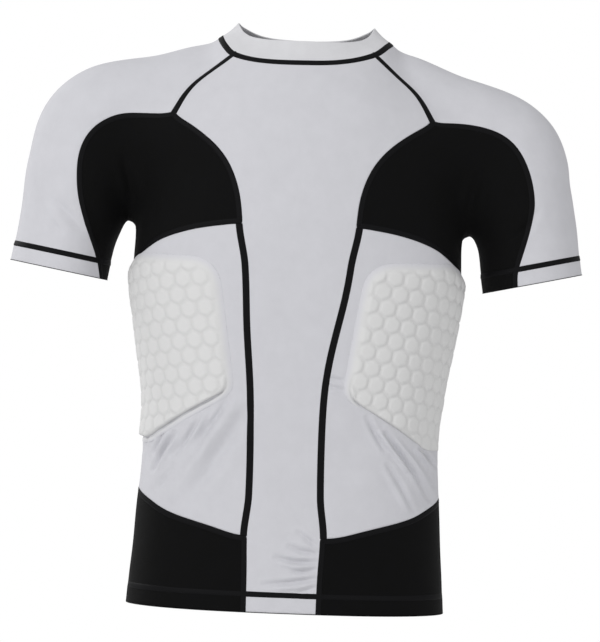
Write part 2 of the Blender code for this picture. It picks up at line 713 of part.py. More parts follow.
def neck_band(seams, collection):
    """The standing rib band round the neck opening."""
    base = []
    angles = []
    front = np.linspace(-RAGLAN_FRONT_ANGLE, RAGLAN_FRONT_ANGLE, FRONT_COLUMNS + 1)
    shoulder = np.linspace(RAGLAN_FRONT_ANGLE, RAGLAN_BACK_ANGLE, SLEEVE_COLUMNS + 1)
    rear = np.linspace(RAGLAN_BACK_ANGLE, 360.0 - RAGLAN_BACK_ANGLE, BACK_COLUMNS + 1)
    angles = np.concatenate([front[:-1], shoulder[:-1], rear[:-1], 360.0 - shoulder[::-1][:-1]])
    base = round_neck(angles)
    turn = np.radians(angles)
    folded = np.abs((angles + 180.0) % 360.0 - 180.0)
    depth = np.where(np.cos(turn) > 0, COLLAR_FRONT, COLLAR_BACK)
    top = np.stack([
        COLLAR_HALF_WIDTH * np.sin(turn), -depth * np.cos(turn), read_table(COLLAR_TOP, 1, folded)
    ], axis=1)
    lift = top - base
    lift /= np.linalg.norm(lift, axis=1)[:, None]
    around = np.roll(base, -1, axis=0) - np.roll(base, 1, axis=0)
    outward = np.cross(around, lift)
    outward /= np.linalg.norm(outward, axis=1)[:, None]
    outward *= np.sign(np.sum(outward * base * [1, 1, 0], axis=1))[:, None]
    rows = []
    inner = []
    at_seam = form_normals(base)
    for row in range(COLLAR_ROWS + 1):
        share = row / COLLAR_ROWS
        curve = 1.2 * math.sin(math.pi * share)
        line = base + (top - base) * share - outward * curve
        if row == 0:
            line = line + lift * SEAM_GAP
        toward = outward * share + (outward + at_seam) / 2.0 * (1 - share)
        toward /= np.linalg.norm(toward, axis=1)[:, None]
        rows.append(line)
        inner.append(line - toward * COLLAR_CLOTH)
    return wall_from("neck_band", np.array(rows), np.array(inner), "band", 0.8, collection, ring=True)


# Rib pads


def rounded_outline():
    """Pad outline with its corners rounded, in distance round the side and height."""
    points = []
    corners = np.array([row[:2] for row in PAD_CORNERS], dtype=float)
    count = len(corners)
    for place, row in enumerate(PAD_CORNERS):
        corner = corners[place]
        before = corners[place - 1] - corner
        after = corners[(place + 1) % count] - corner
        before_length, after_length = np.linalg.norm(before), np.linalg.norm(after)
        before, after = before / before_length, after / after_length
        half_angle = math.acos(float(np.clip(before @ after, -1, 1))) / 2.0
        cut = min(row[2] / math.tan(half_angle), 0.48 * before_length, 0.48 * after_length)
        for share in np.linspace(0.0, 1.0, 7):
            first = corner + before * cut
            last = corner + after * cut
            points.append(first * (1 - share) ** 2 + 2 * corner * share * (1 - share) + last * share ** 2)
    points = np.array(points + [points[0]])
    return divide(points, int(round(lengths_along(points)[-1] / PAD_STEP)))[:-1]


def offset_inward(outline, distance):
    """Closed outline moved inward, away from its own lengths."""
    run = np.roll(outline, -1, axis=0) - np.roll(outline, 1, axis=0)
    run /= np.linalg.norm(run, axis=1)[:, None]
    side_step = np.stack([-run[:, 1], run[:, 0]], axis=1)
    area = np.sum(outline[:, 0] * np.roll(outline[:, 1], -1) - np.roll(outline[:, 0], -1) * outline[:, 1])
    return outline + side_step * distance * math.copysign(1.0, area)


def inside_by(outline, point):
    """Signed distance of a point inside a closed outline."""
    starts, stops = outline, np.roll(outline, -1, axis=0)
    run = stops - starts
    part = np.clip(np.sum((point - starts) * run, axis=1) / np.sum(run * run, axis=1), 0.0, 1.0)
    away = np.min(np.linalg.norm(point - starts - part[:, None] * run, axis=1))
    crossing = (starts[:, 1] > point[1]) != (stops[:, 1] > point[1])
    height = np.where(np.abs(run[:, 1]) < 1e-9, 1e-9, run[:, 1])
    reach = starts[:, 0] + (point[1] - starts[:, 1]) / height * run[:, 0]
    inside = np.sum(crossing & (point[0] < reach)) % 2 == 1
    return away if inside else -away


def pad_cells(outline, middle):
    """Middles of the honeycomb cells that lie clear of the pad's plain flange."""
    lean = math.radians(CELL_LEAN_DEGREES)
    turn = np.array([[math.cos(lean), math.sin(lean)], [-math.sin(lean), math.cos(lean)]])
    cells = []
    for row in range(-9, 10):
        for column in range(-9, 10):
            step = np.array([(column + 0.5 * (row % 2)) * CELL_PITCH, row * CELL_PITCH * math.sqrt(3) / 2])
            place = middle + turn @ step
            if inside_by(outline, place) > PAD_BEVEL + CELL_PITCH * 0.62:
                cells.append(place)
    return cells, lean


def hexagon(middle, radius, lean):
    angles = np.radians(np.arange(6) * 60.0 + 30.0) - lean
    return middle + radius * np.stack([np.cos(angles), np.sin(angles)], axis=1)


def flat_triangles(points, loops):
    """Triangles over flat points that keep the given closed loops as edges."""
    edges = []
    for loop in loops:
        edges += [(loop[k], loop[(k + 1) % len(loop)]) for k in range(len(loop))]
    made = delaunay_2d_cdt([Vector(point) for point in points], edges, [list(loops[0])], 1, 1e-6)
    source = [origin[0] for origin in made[3]]
    return [[source[corner] for corner in face] for face in made[2]]


def pad_angles():
    """Table of distance round the side against angle from the front, on the pad's middle section."""
    angles = np.linspace(0.0, 140.0, 281)
    line = round_torso(angles, PAD_SECTION_HEIGHT)
    return lengths_along(line), angles


def net_surface(net):
    """The faces of a panel's outer net, for laying things on."""
    rows, columns = net.shape[:2]
    points = net.reshape(-1, 3)
    faces = []
    for row in range(rows - 1):
        for column in range(columns - 1):
            start = row * columns + column
            corners = [start, start + 1, start + columns + 1, start + columns]
            first = np.linalg.norm(points[corners[0]] - points[corners[2]])
            second = np.linalg.norm(points[corners[1]] - points[corners[3]])
            turn = 0 if first <= second else 1
            ring = corners[turn:] + corners[:turn]
            faces += [(ring[0], ring[1], ring[2]), (ring[0], ring[2], ring[3])]
    return BVHTree.FromPolygons([Vector(point) for point in points], faces)


def rib_pad(side, net, collection):
    """A slab that lies on the side panel's points, with honeycomb cells raised in its outer points."""
    sign = SIDES[side]
    run, angles = pad_angles()
    outline = rounded_outline()
    panel = net_surface(net)

    def on_side(points, lifts):
        points = np.array(points)
        around = np.interp(points[:, 0] + PAD_SHIFT[side], run, angles)
        seat = round_torso(sign * around, points[:, 1])
        normals = form_normals(seat)
        for place, point in enumerate(seat):
            axis = Vector((0.0, 0.0, point[2]))
            reach = Vector(point) - axis
            hit = panel.ray_cast(axis, reach.normalized())
            if hit[0] is not None and hit[3] > reach.length:
                seat[place] = hit[0]
        return seat + normals * np.array(lifts)[:, None]

    shoulder = offset_inward(outline, PAD_BEVEL)
    points = list(outline) + list(shoulder)
    lifts = [PAD_SEAT + PAD_EDGE] * len(outline) + [PAD_SEAT + PAD_FLANGE] * len(shoulder)
    loops = [range(len(outline)), range(len(outline), 2 * len(outline))]
    cells, lean = pad_cells(outline, np.array(CELL_ORIGIN[side]))
    wide = CELL_PITCH / math.sqrt(3) * 0.90
    for cell in cells:
        for radius, lift in ((wide, PAD_FLANGE), (wide * CELL_TOP_SHARE, PAD_CELL_EDGE)):
            loops.append(range(len(points), len(points) + 6))
            points += list(hexagon(cell, radius, lean))
            lifts += [PAD_SEAT + lift] * 6
        points.append(cell)
        lifts.append(PAD_SEAT + PAD_CELL_TOP)
    top_faces = flat_triangles(points, loops)
    top = on_side(points, lifts)

    plain = list(outline)
    for along in np.arange(40.0, 300.0, PAD_STEP * 1.3):
        for height in np.arange(-470.0, -230.0, PAD_STEP * 1.3):
            if inside_by(outline, np.array([along, height])) > PAD_STEP * 0.6:
                plain.append(np.array([along, height]))
    base_faces = flat_triangles(plain, [range(len(outline))])
    base = on_side(plain, [PAD_SEAT] * len(plain))

    mesh = bmesh.new()
    top_verts = [mesh.verts.new(Vector(point) * METRES) for point in top]
    base_verts = [mesh.verts.new(Vector(point) * METRES) for point in base]
    for face in top_faces:
        mesh.faces.new([top_verts[k] for k in face])
    for face in base_faces:
        mesh.faces.new([base_verts[k] for k in face[::-1]])
    count = len(outline)
    for k in range(count):
        after = (k + 1) % count
        mesh.faces.new((top_verts[after], top_verts[k], base_verts[k]))
        mesh.faces.new((top_verts[after], base_verts[k], base_verts[after]))
    return finished("rib_pad_" + side, mesh, "pad", 0.6, collection)


# The shirt

for leftover in list(bpy.data.objects):
    bpy.data.objects.remove(leftover, do_unlink=True)

shirt = bpy.data.collections.new("padded_compression_shirt")
bpy.context.scene.collection.children.link(shirt)

panel_nets, panel_seams = all_nets()
for panel_name, panel_net in panel_nets.items():
    dark = panel_name.startswith(("chest_underarm", "hip_panel"))
    cloth_panel(panel_name, panel_net, "black" if dark else "grey", shirt)
neck_band(panel_seams, shirt)
for pad_side in SIDES:
    rib_pad(pad_side, panel_nets["side_panel_" + pad_side], shirt)
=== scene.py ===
import math

import bmesh
import bpy
import numpy as np
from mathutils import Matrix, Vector
from mathutils.bvhtree import BVHTree
from mathutils.geometry import delaunay_2d_cdt


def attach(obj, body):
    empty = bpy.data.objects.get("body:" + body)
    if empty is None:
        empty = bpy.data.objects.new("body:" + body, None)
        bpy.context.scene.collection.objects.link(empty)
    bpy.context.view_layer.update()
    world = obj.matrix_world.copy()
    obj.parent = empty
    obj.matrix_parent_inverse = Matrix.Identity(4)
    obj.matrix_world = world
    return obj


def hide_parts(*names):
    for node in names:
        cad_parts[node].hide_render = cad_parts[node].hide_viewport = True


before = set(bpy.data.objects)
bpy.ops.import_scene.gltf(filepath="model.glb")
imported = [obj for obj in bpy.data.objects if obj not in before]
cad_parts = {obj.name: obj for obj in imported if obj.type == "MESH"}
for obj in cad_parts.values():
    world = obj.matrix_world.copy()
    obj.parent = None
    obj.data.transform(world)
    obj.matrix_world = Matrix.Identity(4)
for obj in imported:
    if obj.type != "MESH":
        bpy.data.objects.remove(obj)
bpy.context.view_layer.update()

# Camera, light and floor. The shirt is seen level from 4 m in front, through a long lens, with the
# camera rolled a little. The floor is a round of boards in matt white paint, the wall behind is
# white, and four round soft boxes on stands light the cloth.

CAMERA_DISTANCE, PHOTO_PIXELS, METRES_PER_PIXEL = 4.0, 600, 0.0011
SHIRT_MIDDLE = Vector((0, 0, -0.3))
FLOOR_RADIUS, FLOOR_LEVEL = 2.4, -0.95


def placed(name, data):
    """A new object that holds this data, linked into the scene."""
    made = bpy.data.objects.new(name, data)
    bpy.context.scene.collection.objects.link(made)
    return made


camera_data = bpy.data.cameras.new("camera")
camera_data.sensor_fit = "HORIZONTAL"
camera_data.sensor_width = 36.0
camera_data.lens = 36.0 * CAMERA_DISTANCE / (PHOTO_PIXELS * METRES_PER_PIXEL)
camera_data.clip_end = 60.0
camera = placed("camera", camera_data)
camera.location = (0.0051, -CAMERA_DISTANCE, -0.3087)
camera.rotation_euler = (math.radians(90), math.radians(-2.2), 0)
bpy.context.scene.camera = camera


def soft_light(name, place, size, power):
    """A round soft box turned towards the middle of the shirt; its size in metres, its power in watts."""
    data = bpy.data.lights.new(name, "AREA")
    data.shape = "DISK"
    data.size = size
    data.energy = power
    light = placed(name, data)
    light.location = place
    light.rotation_euler = (SHIRT_MIDDLE - Vector(place)).to_track_quat("-Z", "Y").to_euler()


soft_light("key_light", (-2.0, -2.3, 1.3), 0.9, 46)
soft_light("fill_light", (2.1, -2.6, 0.1), 1.6, 17)
soft_light("top_light", (-0.2, 0.0, 2.4), 1.4, 4)
soft_light("back_light", (-2.3, 1.9, 1.0), 1.1, 24)

studio = bpy.data.worlds.new("studio")
studio.use_nodes = True
bpy.context.scene.world = studio
bpy.context.scene.view_settings.view_transform = "Standard"


def linear(hex_value):
    """An sRGB hex colour as linear red, green, blue and alpha."""
    parts = [int(hex_value[k:k + 2], 16) / 255 for k in (1, 3, 5)]
    return [
        part / 12.92 if part <= 0.04045 else ((part + 0.055) / 1.055) ** 2.4 for part in parts
    ] + [1.0]


def add(tree, kind, sockets=(), **settings):
    """One shader node with its settings, values and links; gives the node."""
    made = tree.nodes.new(kind)
    for name, value in settings.items():
        setattr(made, name, value)
    for socket, value in dict(sockets).items():
        if isinstance(value, bpy.types.NodeSocket):
            tree.links.new(value, made.inputs[socket])
        else:
            made.inputs[socket].default_value = value
    return made


def new_material(name):
    """A new material, with its node tree and its shader."""
    material = bpy.data.materials.new(name)
    material.use_nodes = True
    return material, material.node_tree, material.node_tree.nodes["Principled BSDF"]


def mesh_from(name, shape):
    """Mesh data made from a bmesh, which is freed."""
    data = bpy.data.meshes.new(name)
    shape.to_mesh(data)
    shape.free()
    return data


# the wall shows full white behind the shirt, and throws less light on it
daylight = studio.node_tree.nodes["Background"]
daylight.inputs["Color"].default_value = (1, 1, 1, 1)
daylight.inputs["Strength"].default_value = 0.60
white_wall = add(studio.node_tree, "ShaderNodeBackground", {"Color": (1, 1, 1, 1), "Strength": 1.0})
seen_directly = add(studio.node_tree, "ShaderNodeLightPath")
surround = add(
    studio.node_tree, "ShaderNodeMixShader",
    {0: seen_directly.outputs["Is Camera Ray"], 1: daylight.outputs[0], 2: white_wall.outputs[0]},
)
studio.node_tree.links.new(surround.outputs[0], studio.node_tree.nodes["World Output"].inputs["Surface"])

boards = bmesh.new()
bmesh.ops.create_circle(boards, cap_ends=True, segments=96, radius=FLOOR_RADIUS)
bmesh.ops.translate(boards, verts=boards.verts, vec=(0, 0, FLOOR_LEVEL))
floor_data = mesh_from("studio_floor", boards)
# matt emulsion paint: pale and even, with no gloss
paint, _, paint_shader = new_material("matt_white_floor_paint")
paint_shader.inputs["Base Color"].default_value = linear("#F4F4F4")
paint_shader.inputs["Roughness"].default_value = 0.95
floor_data.materials.append(paint)
floor = placed("studio_floor", floor_data)

# The sewn skin. Every panel is a fine stretch knit of polyester and elastane, cut flat and pulled
# smooth over the body. The outside of each CAD wall is joined to its neighbours along the seams, so
# that one even cloth is smoothed, folded and then cut apart into its panels again.

PANELS = [
    "front_panel", "back_panel", "side_panel_right", "side_panel_left", "shoulder_sleeve_right",
    "shoulder_sleeve_left", "chest_underarm_panel_right", "chest_underarm_panel_left",
    "hip_panel_right", "hip_panel_left", "neck_band",
]
(
    FRONT, BACK, SIDE_RIGHT, SIDE_LEFT, SLEEVE_RIGHT, SLEEVE_LEFT,
    UNDERARM_RIGHT, UNDERARM_LEFT, HIP_RIGHT, HIP_LEFT, COLLAR,
) = range(len(PANELS))
GREY, BLACK = range(FRONT, UNDERARM_RIGHT), range(UNDERARM_RIGHT, COLLAR)
# lengths in metres: a rim face has an edge as short as the wall is thick, and the panels stand
# 0.3 mm apart, so the skin is joined over a little more than that
SAME_POINT, LONGEST_RIM_EDGE, SEAM_REACH = 0.00002, 0.0027, 0.0009
SMOOTHING_LEVELS = 3
# smoothing draws the cloth in: the share that is given back first, and the most in metres
GIVEN_BACK, MOST_GIVEN_BACK = 0.8, 0.0018


def outside_of(node):
    """The outer side of one CAD wall as loose cloth, without the wall's rims and inner side."""
    wall = bmesh.new()
    wall.from_mesh(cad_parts[node].data)
    bmesh.ops.remove_doubles(wall, verts=wall.verts, dist=SAME_POINT)
    rims = [
        face for face in wall.faces
        if min(edge.calc_length() for edge in face.edges) < LONGEST_RIM_EDGE
    ]
    bmesh.ops.delete(wall, geom=rims, context="FACES")
    left = set(wall.faces)
    sheets = []
    while left:
        sheet, waiting = [], [left.pop()]
        while waiting:
            face = waiting.pop()
            sheet.append(face)
            for edge in face.edges:
                for other in edge.link_faces:
                    if other in left:
                        left.remove(other)
                        waiting.append(other)
        sheets.append(sheet)
    sheets.sort(key=lambda sheet: sum(face.calc_area() for face in sheet))
    inner = [face for sheet in sheets[:-1] for face in sheet]
    bmesh.ops.delete(wall, geom=inner, context="FACES")
    return wall


def out_of_square(edge):
    """How far the corners are from 90 degrees if the two triangles at an edge become one quad."""
    start, stop = edge.verts
    corners = [start]
    for face in edge.link_faces:
        corners.append(next(vert for vert in face.verts if vert not in edge.verts))
        if len(corners) == 2:
            corners.append(stop)
    total = 0.0
    for place, vert in enumerate(corners):
        before = corners[place - 1].co - vert.co
        after = corners[(place + 1) % 4].co - vert.co
        total += abs(before.angle(after) - math.pi / 2)
    return total


def squared(wall):
    """Joins a sheet's triangles in pairs, so that the smoothing follows the cut of the cloth."""
    free = set(wall.faces)
    costs = {edge: out_of_square(edge) for edge in wall.edges if len(edge.link_faces) == 2}
    waiting = sorted(costs, key=lambda edge: costs[edge])
    diagonals = []

    def choices(face):
        """The edges over which a face can still be joined to another."""
        return [
            edge for edge in face.edges
            if edge in costs and all(one in free for one in edge.link_faces)
        ]

    def take_out(diagonal):
        """Joins the two faces at an edge; gives the faces beside them with one choice left."""
        diagonals.append(diagonal)
        free.difference_update(diagonal.link_faces)
        return [
            one for taken in diagonal.link_faces for side in taken.edges for one in side.link_faces
            if one in free and len(choices(one)) == 1
        ]

    lonely = [face for face in wall.faces if len(choices(face)) == 1]
    for edge in waiting + [None]:
        while lonely:
            face = lonely.pop()
            options = choices(face) if face in free else []
            if options:
                lonely += take_out(min(options, key=lambda option: costs[option]))
        if edge is not None and all(face in free for face in edge.link_faces):
            lonely += take_out(edge)
    bmesh.ops.dissolve_edges(wall, edges=diagonals, use_verts=False, use_face_split=False)


sewn = bmesh.new()
panel_layer = sewn.faces.layers.int.new("panel")
for place, node in enumerate(PANELS):
    cut = outside_of(node)
    squared(cut)
    cut_data = mesh_from("cut", cut)
    before = len(sewn.faces)
    sewn.from_mesh(cut_data)
    bpy.data.meshes.remove(cut_data)
    sewn.faces.ensure_lookup_table()
    for face in sewn.faces[before:]:
        face[panel_layer] = place
bmesh.ops.remove_doubles(sewn, verts=sewn.verts, dist=SEAM_REACH)
sewn_data = mesh_from("sewn", sewn)
sewn_object = placed("sewn", sewn_data)
smoothing = sewn_object.modifiers.new("smoothing", "SUBSURF")
smoothing.levels = smoothing.render_levels = SMOOTHING_LEVELS


def read(items, name, width, kind=np.float64):
    """One of Blender's lists as a numpy array."""
    values = np.empty(len(items) * width, dtype=kind)
    items.foreach_get(name, values)
    return values.reshape(-1, width) if width > 1 else values


def smoothed_skin():
    """The sewn cloth as its smoothing leaves it."""
    graph = bpy.context.evaluated_depsgraph_get()
    return bpy.data.meshes.new_from_object(sewn_object.evaluated_get(graph))


sewn_spots = read(sewn_data.vertices, "co", 3)
skin = smoothed_skin()
shrunk = sewn_spots - read(skin.vertices, "co", 3)[:len(sewn_spots)]
shrunk *= np.minimum(1.0, MOST_GIVEN_BACK / np.maximum(np.linalg.norm(shrunk, axis=1), 1e-9))[:, None]
sewn_data.vertices.foreach_set("co", (sewn_spots + GIVEN_BACK * shrunk).ravel())
sewn_data.update()
bpy.data.meshes.remove(skin)
skin = smoothed_skin()
bpy.data.objects.remove(sewn_object)

# The folds. The cloth is pulled tight, so it only creases where it is held: under the pads at the
# waist, at the armpits and elbows, and where the loose lower front settles in small ripples.
# Each row is one soft crease: half its width and its depth in mm, and points along it.

FRONT_FOLDS = [
    (1.7, 1.9, [(-157, -443), (-160, -451.5), (-162, -459)]),
    (1.5, -1.2, [(-153.8, -442.5), (-155.2, -451)]),
    (1.8, 2.2, [(-141.8, -438.8), (-145.9, -447.7), (-150.4, -458.6)]),
    (1.7, -1.5, [(-135.9, -436.4), (-140.4, -446.4), (-146.1, -459.6)]),
    (2.0, 2.4, [(-129.7, -436.2), (-135.5, -448.4), (-143.8, -463.9), (-151, -479.5)]),
    (2.2, -1.7, [(-121, -433.6), (-127.3, -444.8), (-135.1, -459.2), (-143, -474.6)]),
    (2.6, 2.2, [(-105.8, -425.6), (-115.8, -443.3), (-127.8, -460.9)]),
    (2.6, -1.6, [(-94.3, -413), (-101.4, -428.5), (-111.8, -447.1)]),
    (3.4, 2.2, [(-71.7, -399.7), (-84.3, -417.8), (-97.6, -440.3), (-103.5, -458.6)]),
    (2.6, -1.0, [(-78.4, -404.4), (-91.8, -423.4)]),
    (2.6, 1.3, [(-128.6, -473.5), (-136, -483.7), (-145.1, -496.7)]),
    (4.0, 0.9, [(-67, -464.9), (-83.1, -477.2), (-97.6, -488.8)]),
    (7.0, -3.0, [(-62, -402), (-82, -434), (-104, -466), (-128, -505)]),
    (7.0, 2.4, [(-52, -412), (-68, -440), (-88, -474), (-108, -508)]),
    (1.7, -1.4, [(138.6, -446.1), (147, -454), (156.2, -464.3)]),
    (1.9, 2.0, [(143.2, -443.3), (152, -452.5), (160.7, -463.2)]),
    (
        2.4, 2.5,
        [(104.4, -428.7), (121.7, -451.3), (137.9, -470.9), (146.9, -486.1), (154.5, -500)],
    ),
    (2.4, -1.6, [(97, -428.3), (114.3, -450.5), (128, -467)]),
    (2.6, 2.0, [(83.2, -412.5), (93.4, -430.9), (103.9, -447.2)]),
    (2.6, -1.4, [(116.7, -436.6), (133.4, -454.6), (149.5, -475.4), (160.5, -493.9)]),
    (2.4, 1.4, [(108, -463.1), (124.2, -486.9), (138.3, -513.5)]),
    (2.6, -1.0, [(102, -465.1), (117.2, -489.9), (130.3, -511.5)]),
    (2.2, 1.5, [(40.5, -370.1), (56, -372.8)]),
    (2.2, 1.4, [(41.9, -378.8), (56.4, -383.8)]),
    (2.4, 1.5, [(12.4, -541.3), (31, -553.9)]),
    (2.6, -0.9, [(4, -549.3), (31, -558.5)]),
    (2.4, 1.9, [(2.8, -556.9), (16, -562), (32.5, -564)]),
    (2.5, 2.1, [(-10.9, -569.6), (10, -574), (31.8, -573.2)]),
    (2.4, -1.2, [(-4, -577), (14, -579.5), (31, -577.5)]),
    (2.4, 1.7, [(7.9, -585.1), (32.1, -581.3)]),
    (2.5, 2.1, [(-24.1, -599.6), (3.1, -597), (32.5, -591.5)]),
    (2.2, -1.1, [(-8, -604), (12, -602), (31, -596.5)]),
    (2.0, 1.2, [(14.7, -607.3), (31.8, -601.7)]),
    (5.0, 1.8, [(-268.5, -186), (-254.4, -200.9), (-239.9, -214.4)]),
    (4.0, 1.2, [(-275.4, -209.4), (-263.5, -221)]),
    (4.2, 1.8, [(-195.7, -135.9), (-188.8, -160.9), (-182.4, -184.7)]),
    (4.5, 1.5, [(262, -178), (250, -196), (236, -210)]),
    (4.2, 1.6, [(196, -140), (190, -162), (186, -182)]),
]
BACK_FOLDS = [
    (5.0, 1.9, [(-132, -150), (-118, -192), (-112, -236)]),
    (5.5, -1.4, [(-120, -146), (-104, -190), (-99, -228)]),
    (5.0, 1.7, [(136, -148), (121, -186), (113, -228)]),
    (5.5, -1.3, [(122, -150), (107, -186), (100, -220)]),
    (6.5, 1.4, [(-74, -352), (-32, -362), (6, -360)]),
    (6.0, 1.2, [(-8, -378), (36, -386), (78, -380)]),
    (6.0, -1.1, [(-60, -372), (-22, -380), (10, -377)]),
    (5.5, 1.0, [(-52, -400), (-12, -407), (30, -404)]),
    (4.2, 1.7, [(118, -446), (104, -470), (84, -492)]),
    (4.0, 1.5, [(-112, -450), (-98, -474), (-80, -498)]),
    (4.4, -1.3, [(132, -452), (118, -482), (102, -508)]),
    (4.4, -1.2, [(-128, -452), (-112, -486), (-98, -510)]),
    (4.0, 1.0, [(-46, -566), (0, -571), (38, -567)]),
    (3.6, 0.9, [(-20, -584), (28, -588), (66, -583)]),
    (4.8, 1.8, [(-262, -170), (-246, -186), (-228, -194)]),
    (4.4, 1.3, [(-268, -200), (-250, -212)]),
    (4.8, 1.6, [(258, -166), (243, -184), (226, -190)]),
    (4.4, 1.2, [(262, -198), (245, -210)]),
]
FOLDS = [("front", *row) for row in FRONT_FOLDS] + [("back", *row) for row in BACK_FOLDS]
EYE_MM = np.array([5.0, -4000.0, -309.0])
FOLD_DEPTH = 1.35
# creases narrower than this need finer cloth, where it lies in front of this place, in mm
SHARP, FRONT_SIDE = 2.8, 20.0
# the cloth swells a little beside a crease: the share of its depth, and then, in half widths of
# the crease, how far off, how wide, and how far the whole crease is felt
SWELL, SWELL_PLACE, SWELL_WIDTH, FOLD_REACH = 0.32, 2.2, 1.1, 4.5
# a crease fades out over these cosines as the cloth turns away from the side it is drawn on
TURNED_AWAY, TURNED_TO = -0.1, 0.35
# the height of the low waves over the whole cloth, in mm
UNEVEN = 0.28
# the turned hem and cuffs: how far below the origin the hem is, their heights, and how far their
# doubled cloth stands out, over how short a step, in mm
HEM_LEVEL, HEM_BAND, CUFF_BAND, DOUBLED, DOUBLED_STEP = 623.0, 20.0, 19.0, 0.45, 1.5
# rims between these heights are cuffs, and an arm reaches so far in from its cuff, in metres
LOWEST_CUFF, HIGHEST_CUFF, ARM_REACH, ARM_BOTTOM = -0.5, -0.1, 0.075, -0.30


def ramp(values, start, stop):
    """A soft step from 0 at start to 1 at stop."""
    share = np.clip((values - start) / (stop - start), 0.0, 1.0)
    return share * share * (3 - 2 * share)


def run_along(points):
    """How far along its line each point lies."""
    steps = np.linalg.norm(np.diff(points[:, :3], axis=0), axis=1)
    return np.concatenate([[0.0], np.cumsum(steps)])


def spaced(points, step):
    """Points an even step apart along a line, with what else their rows hold, and the line's length."""
    points = np.asarray(points, dtype=float)
    run = run_along(points)
    where = np.linspace(0.0, run[-1], max(int(round(run[-1] / step)), 2) + 1)
    columns = [np.interp(where, run, points[:, axis]) for axis in range(points.shape[1])]
    return np.stack(columns, axis=1), run[-1]


def evened(line, times, closed=False):
    """A line of points smoothed between its ends, or all round where it is closed."""
    for _ in range(times):
        if closed:
            ring = line[:-1]
            ring = (np.roll(ring, 1, axis=0) + 2 * ring + np.roll(ring, -1, axis=0)) / 4
            line = np.vstack([ring, ring[:1]])
        else:
            line[1:-1] = (line[:-2] + 2 * line[1:-1] + line[2:]) / 4
    return line


def as_seen(points):
    """Where points in mm show from the front, measured on the plane y = 0."""
    nearness = (EYE_MM[1] / (EYE_MM[1] - points[:, 1]))[:, None]
    return EYE_MM[[0, 2]] + (points[:, [0, 2]] - EYE_MM[[0, 2]]) * nearness


# the cloth is cut finer where the sharp creases go
fine = bmesh.new()
fine.from_mesh(skin)
middles = np.array([face.calc_center_median() for face in fine.faces]) * 1000.0
close = np.zeros(len(middles), dtype=bool)
middles_seen = as_seen(middles)
for _, half, _, points in FOLDS:
    if half < SHARP:
        line = spaced(points, 3.0)[0]
        gaps = np.linalg.norm(middles_seen[:, None] - line[None], axis=2).min(axis=1)
        close |= (gaps < half * 3 + 2) & (middles[:, 1] < FRONT_SIDE)
chosen = {edge for face, near in zip(fine.faces, close) if near for edge in face.edges}
bmesh.ops.subdivide_edges(fine, edges=list(chosen), cuts=1, use_grid_fill=True)
fine.to_mesh(skin)
fine.free()
skin.update()
skin_labels = read(skin.attributes["panel"].data, "value", 1, np.int32)
skin_spots = read(skin.vertices, "co", 3)
skin_outward = read(skin.vertex_normals, "vector", 3)
spots_mm = skin_spots * 1000.0
seen = as_seen(spots_mm)
plain = spots_mm[:, [0, 2]]
lift = np.zeros(len(spots_mm))
for face, half, depth, points in FOLDS:
    flat = seen if face == "front" else plain
    facing = -skin_outward[:, 1] if face == "front" else skin_outward[:, 1]
    line, length = spaced(points, 1.5)
    if len(line) > 8:
        line = evened(line, 6)
    low_end, high_end = line.min(axis=0) - half * FOLD_REACH, line.max(axis=0) + half * FOLD_REACH
    near = np.where(((flat > low_end) & (flat < high_end)).all(axis=1) & (facing > TURNED_AWAY))[0]
    gaps = np.linalg.norm(flat[near][:, None] - line[None], axis=2)
    closest = gaps.argmin(axis=1)
    away = gaps[np.arange(len(near)), closest] / half
    along = closest / (len(line) - 1)
    shape = np.exp(-away ** 2) - SWELL * np.exp(-((away - SWELL_PLACE) / SWELL_WIDTH) ** 2)
    ends = 0.35 + 0.65 * np.sin(math.pi * along) ** 0.7
    lift[near] -= FOLD_DEPTH * depth * shape * ends * ramp(facing[near], TURNED_AWAY, TURNED_TO)

# low waves a few centimetres long, as the whole cloth is never quite even
waves = (
    np.sin(plain[:, 0] / 17.0 + np.sin(plain[:, 1] / 31.0) * 1.7)
    * np.sin(plain[:, 1] / 23.0 + np.sin(spots_mm[:, 1] / 19.0 + plain[:, 0] / 41.0) * 1.4)
)
lift += UNEVEN * waves
hem_top = HEM_LEVEL - HEM_BAND
lift += DOUBLED * ramp(-spots_mm[:, 2], hem_top - DOUBLED_STEP, hem_top + DOUBLED_STEP)

loop_edges = read(skin.loops, "edge_index", 1, np.int32)
edge_count = np.bincount(loop_edges, minlength=len(skin.edges))
skin_edges = read(skin.edges, "vertices", 2, np.int32)


def lines_of(edges):
    """Chains of points along the given edges, each from end to end or closed on itself."""
    links = {}
    for start, stop in edges.tolist():
        links.setdefault(start, []).append(stop)
        links.setdefault(stop, []).append(start)
    used = set()
    found = []
    firsts = [vert for vert in links if len(links[vert]) != 2] + list(links)
    for first in firsts:
        for second in links[first]:
            if (first, second) in used:
                continue
            line = [first, second]
            used.update([(first, second), (second, first)])
            while len(links[line[-1]]) == 2 and line[-1] != first:
                ahead = [vert for vert in links[line[-1]] if (line[-1], vert) not in used]
                if not ahead:
                    break
                used.update([(line[-1], ahead[0]), (ahead[0], line[-1])])
                line.append(ahead[0])
            found.append(line)
    return found


rims = {}
for line in lines_of(skin_edges[edge_count == 1]):
    middle = skin_spots[line].mean(axis=0)
    if middle[2] < LOWEST_CUFF:
        rims["hem"] = line
    elif middle[2] > HIGHEST_CUFF:
        rims["collar"] = line
    else:
        rims["cuff_right" if middle[0] < 0 else "cuff_left"] = line
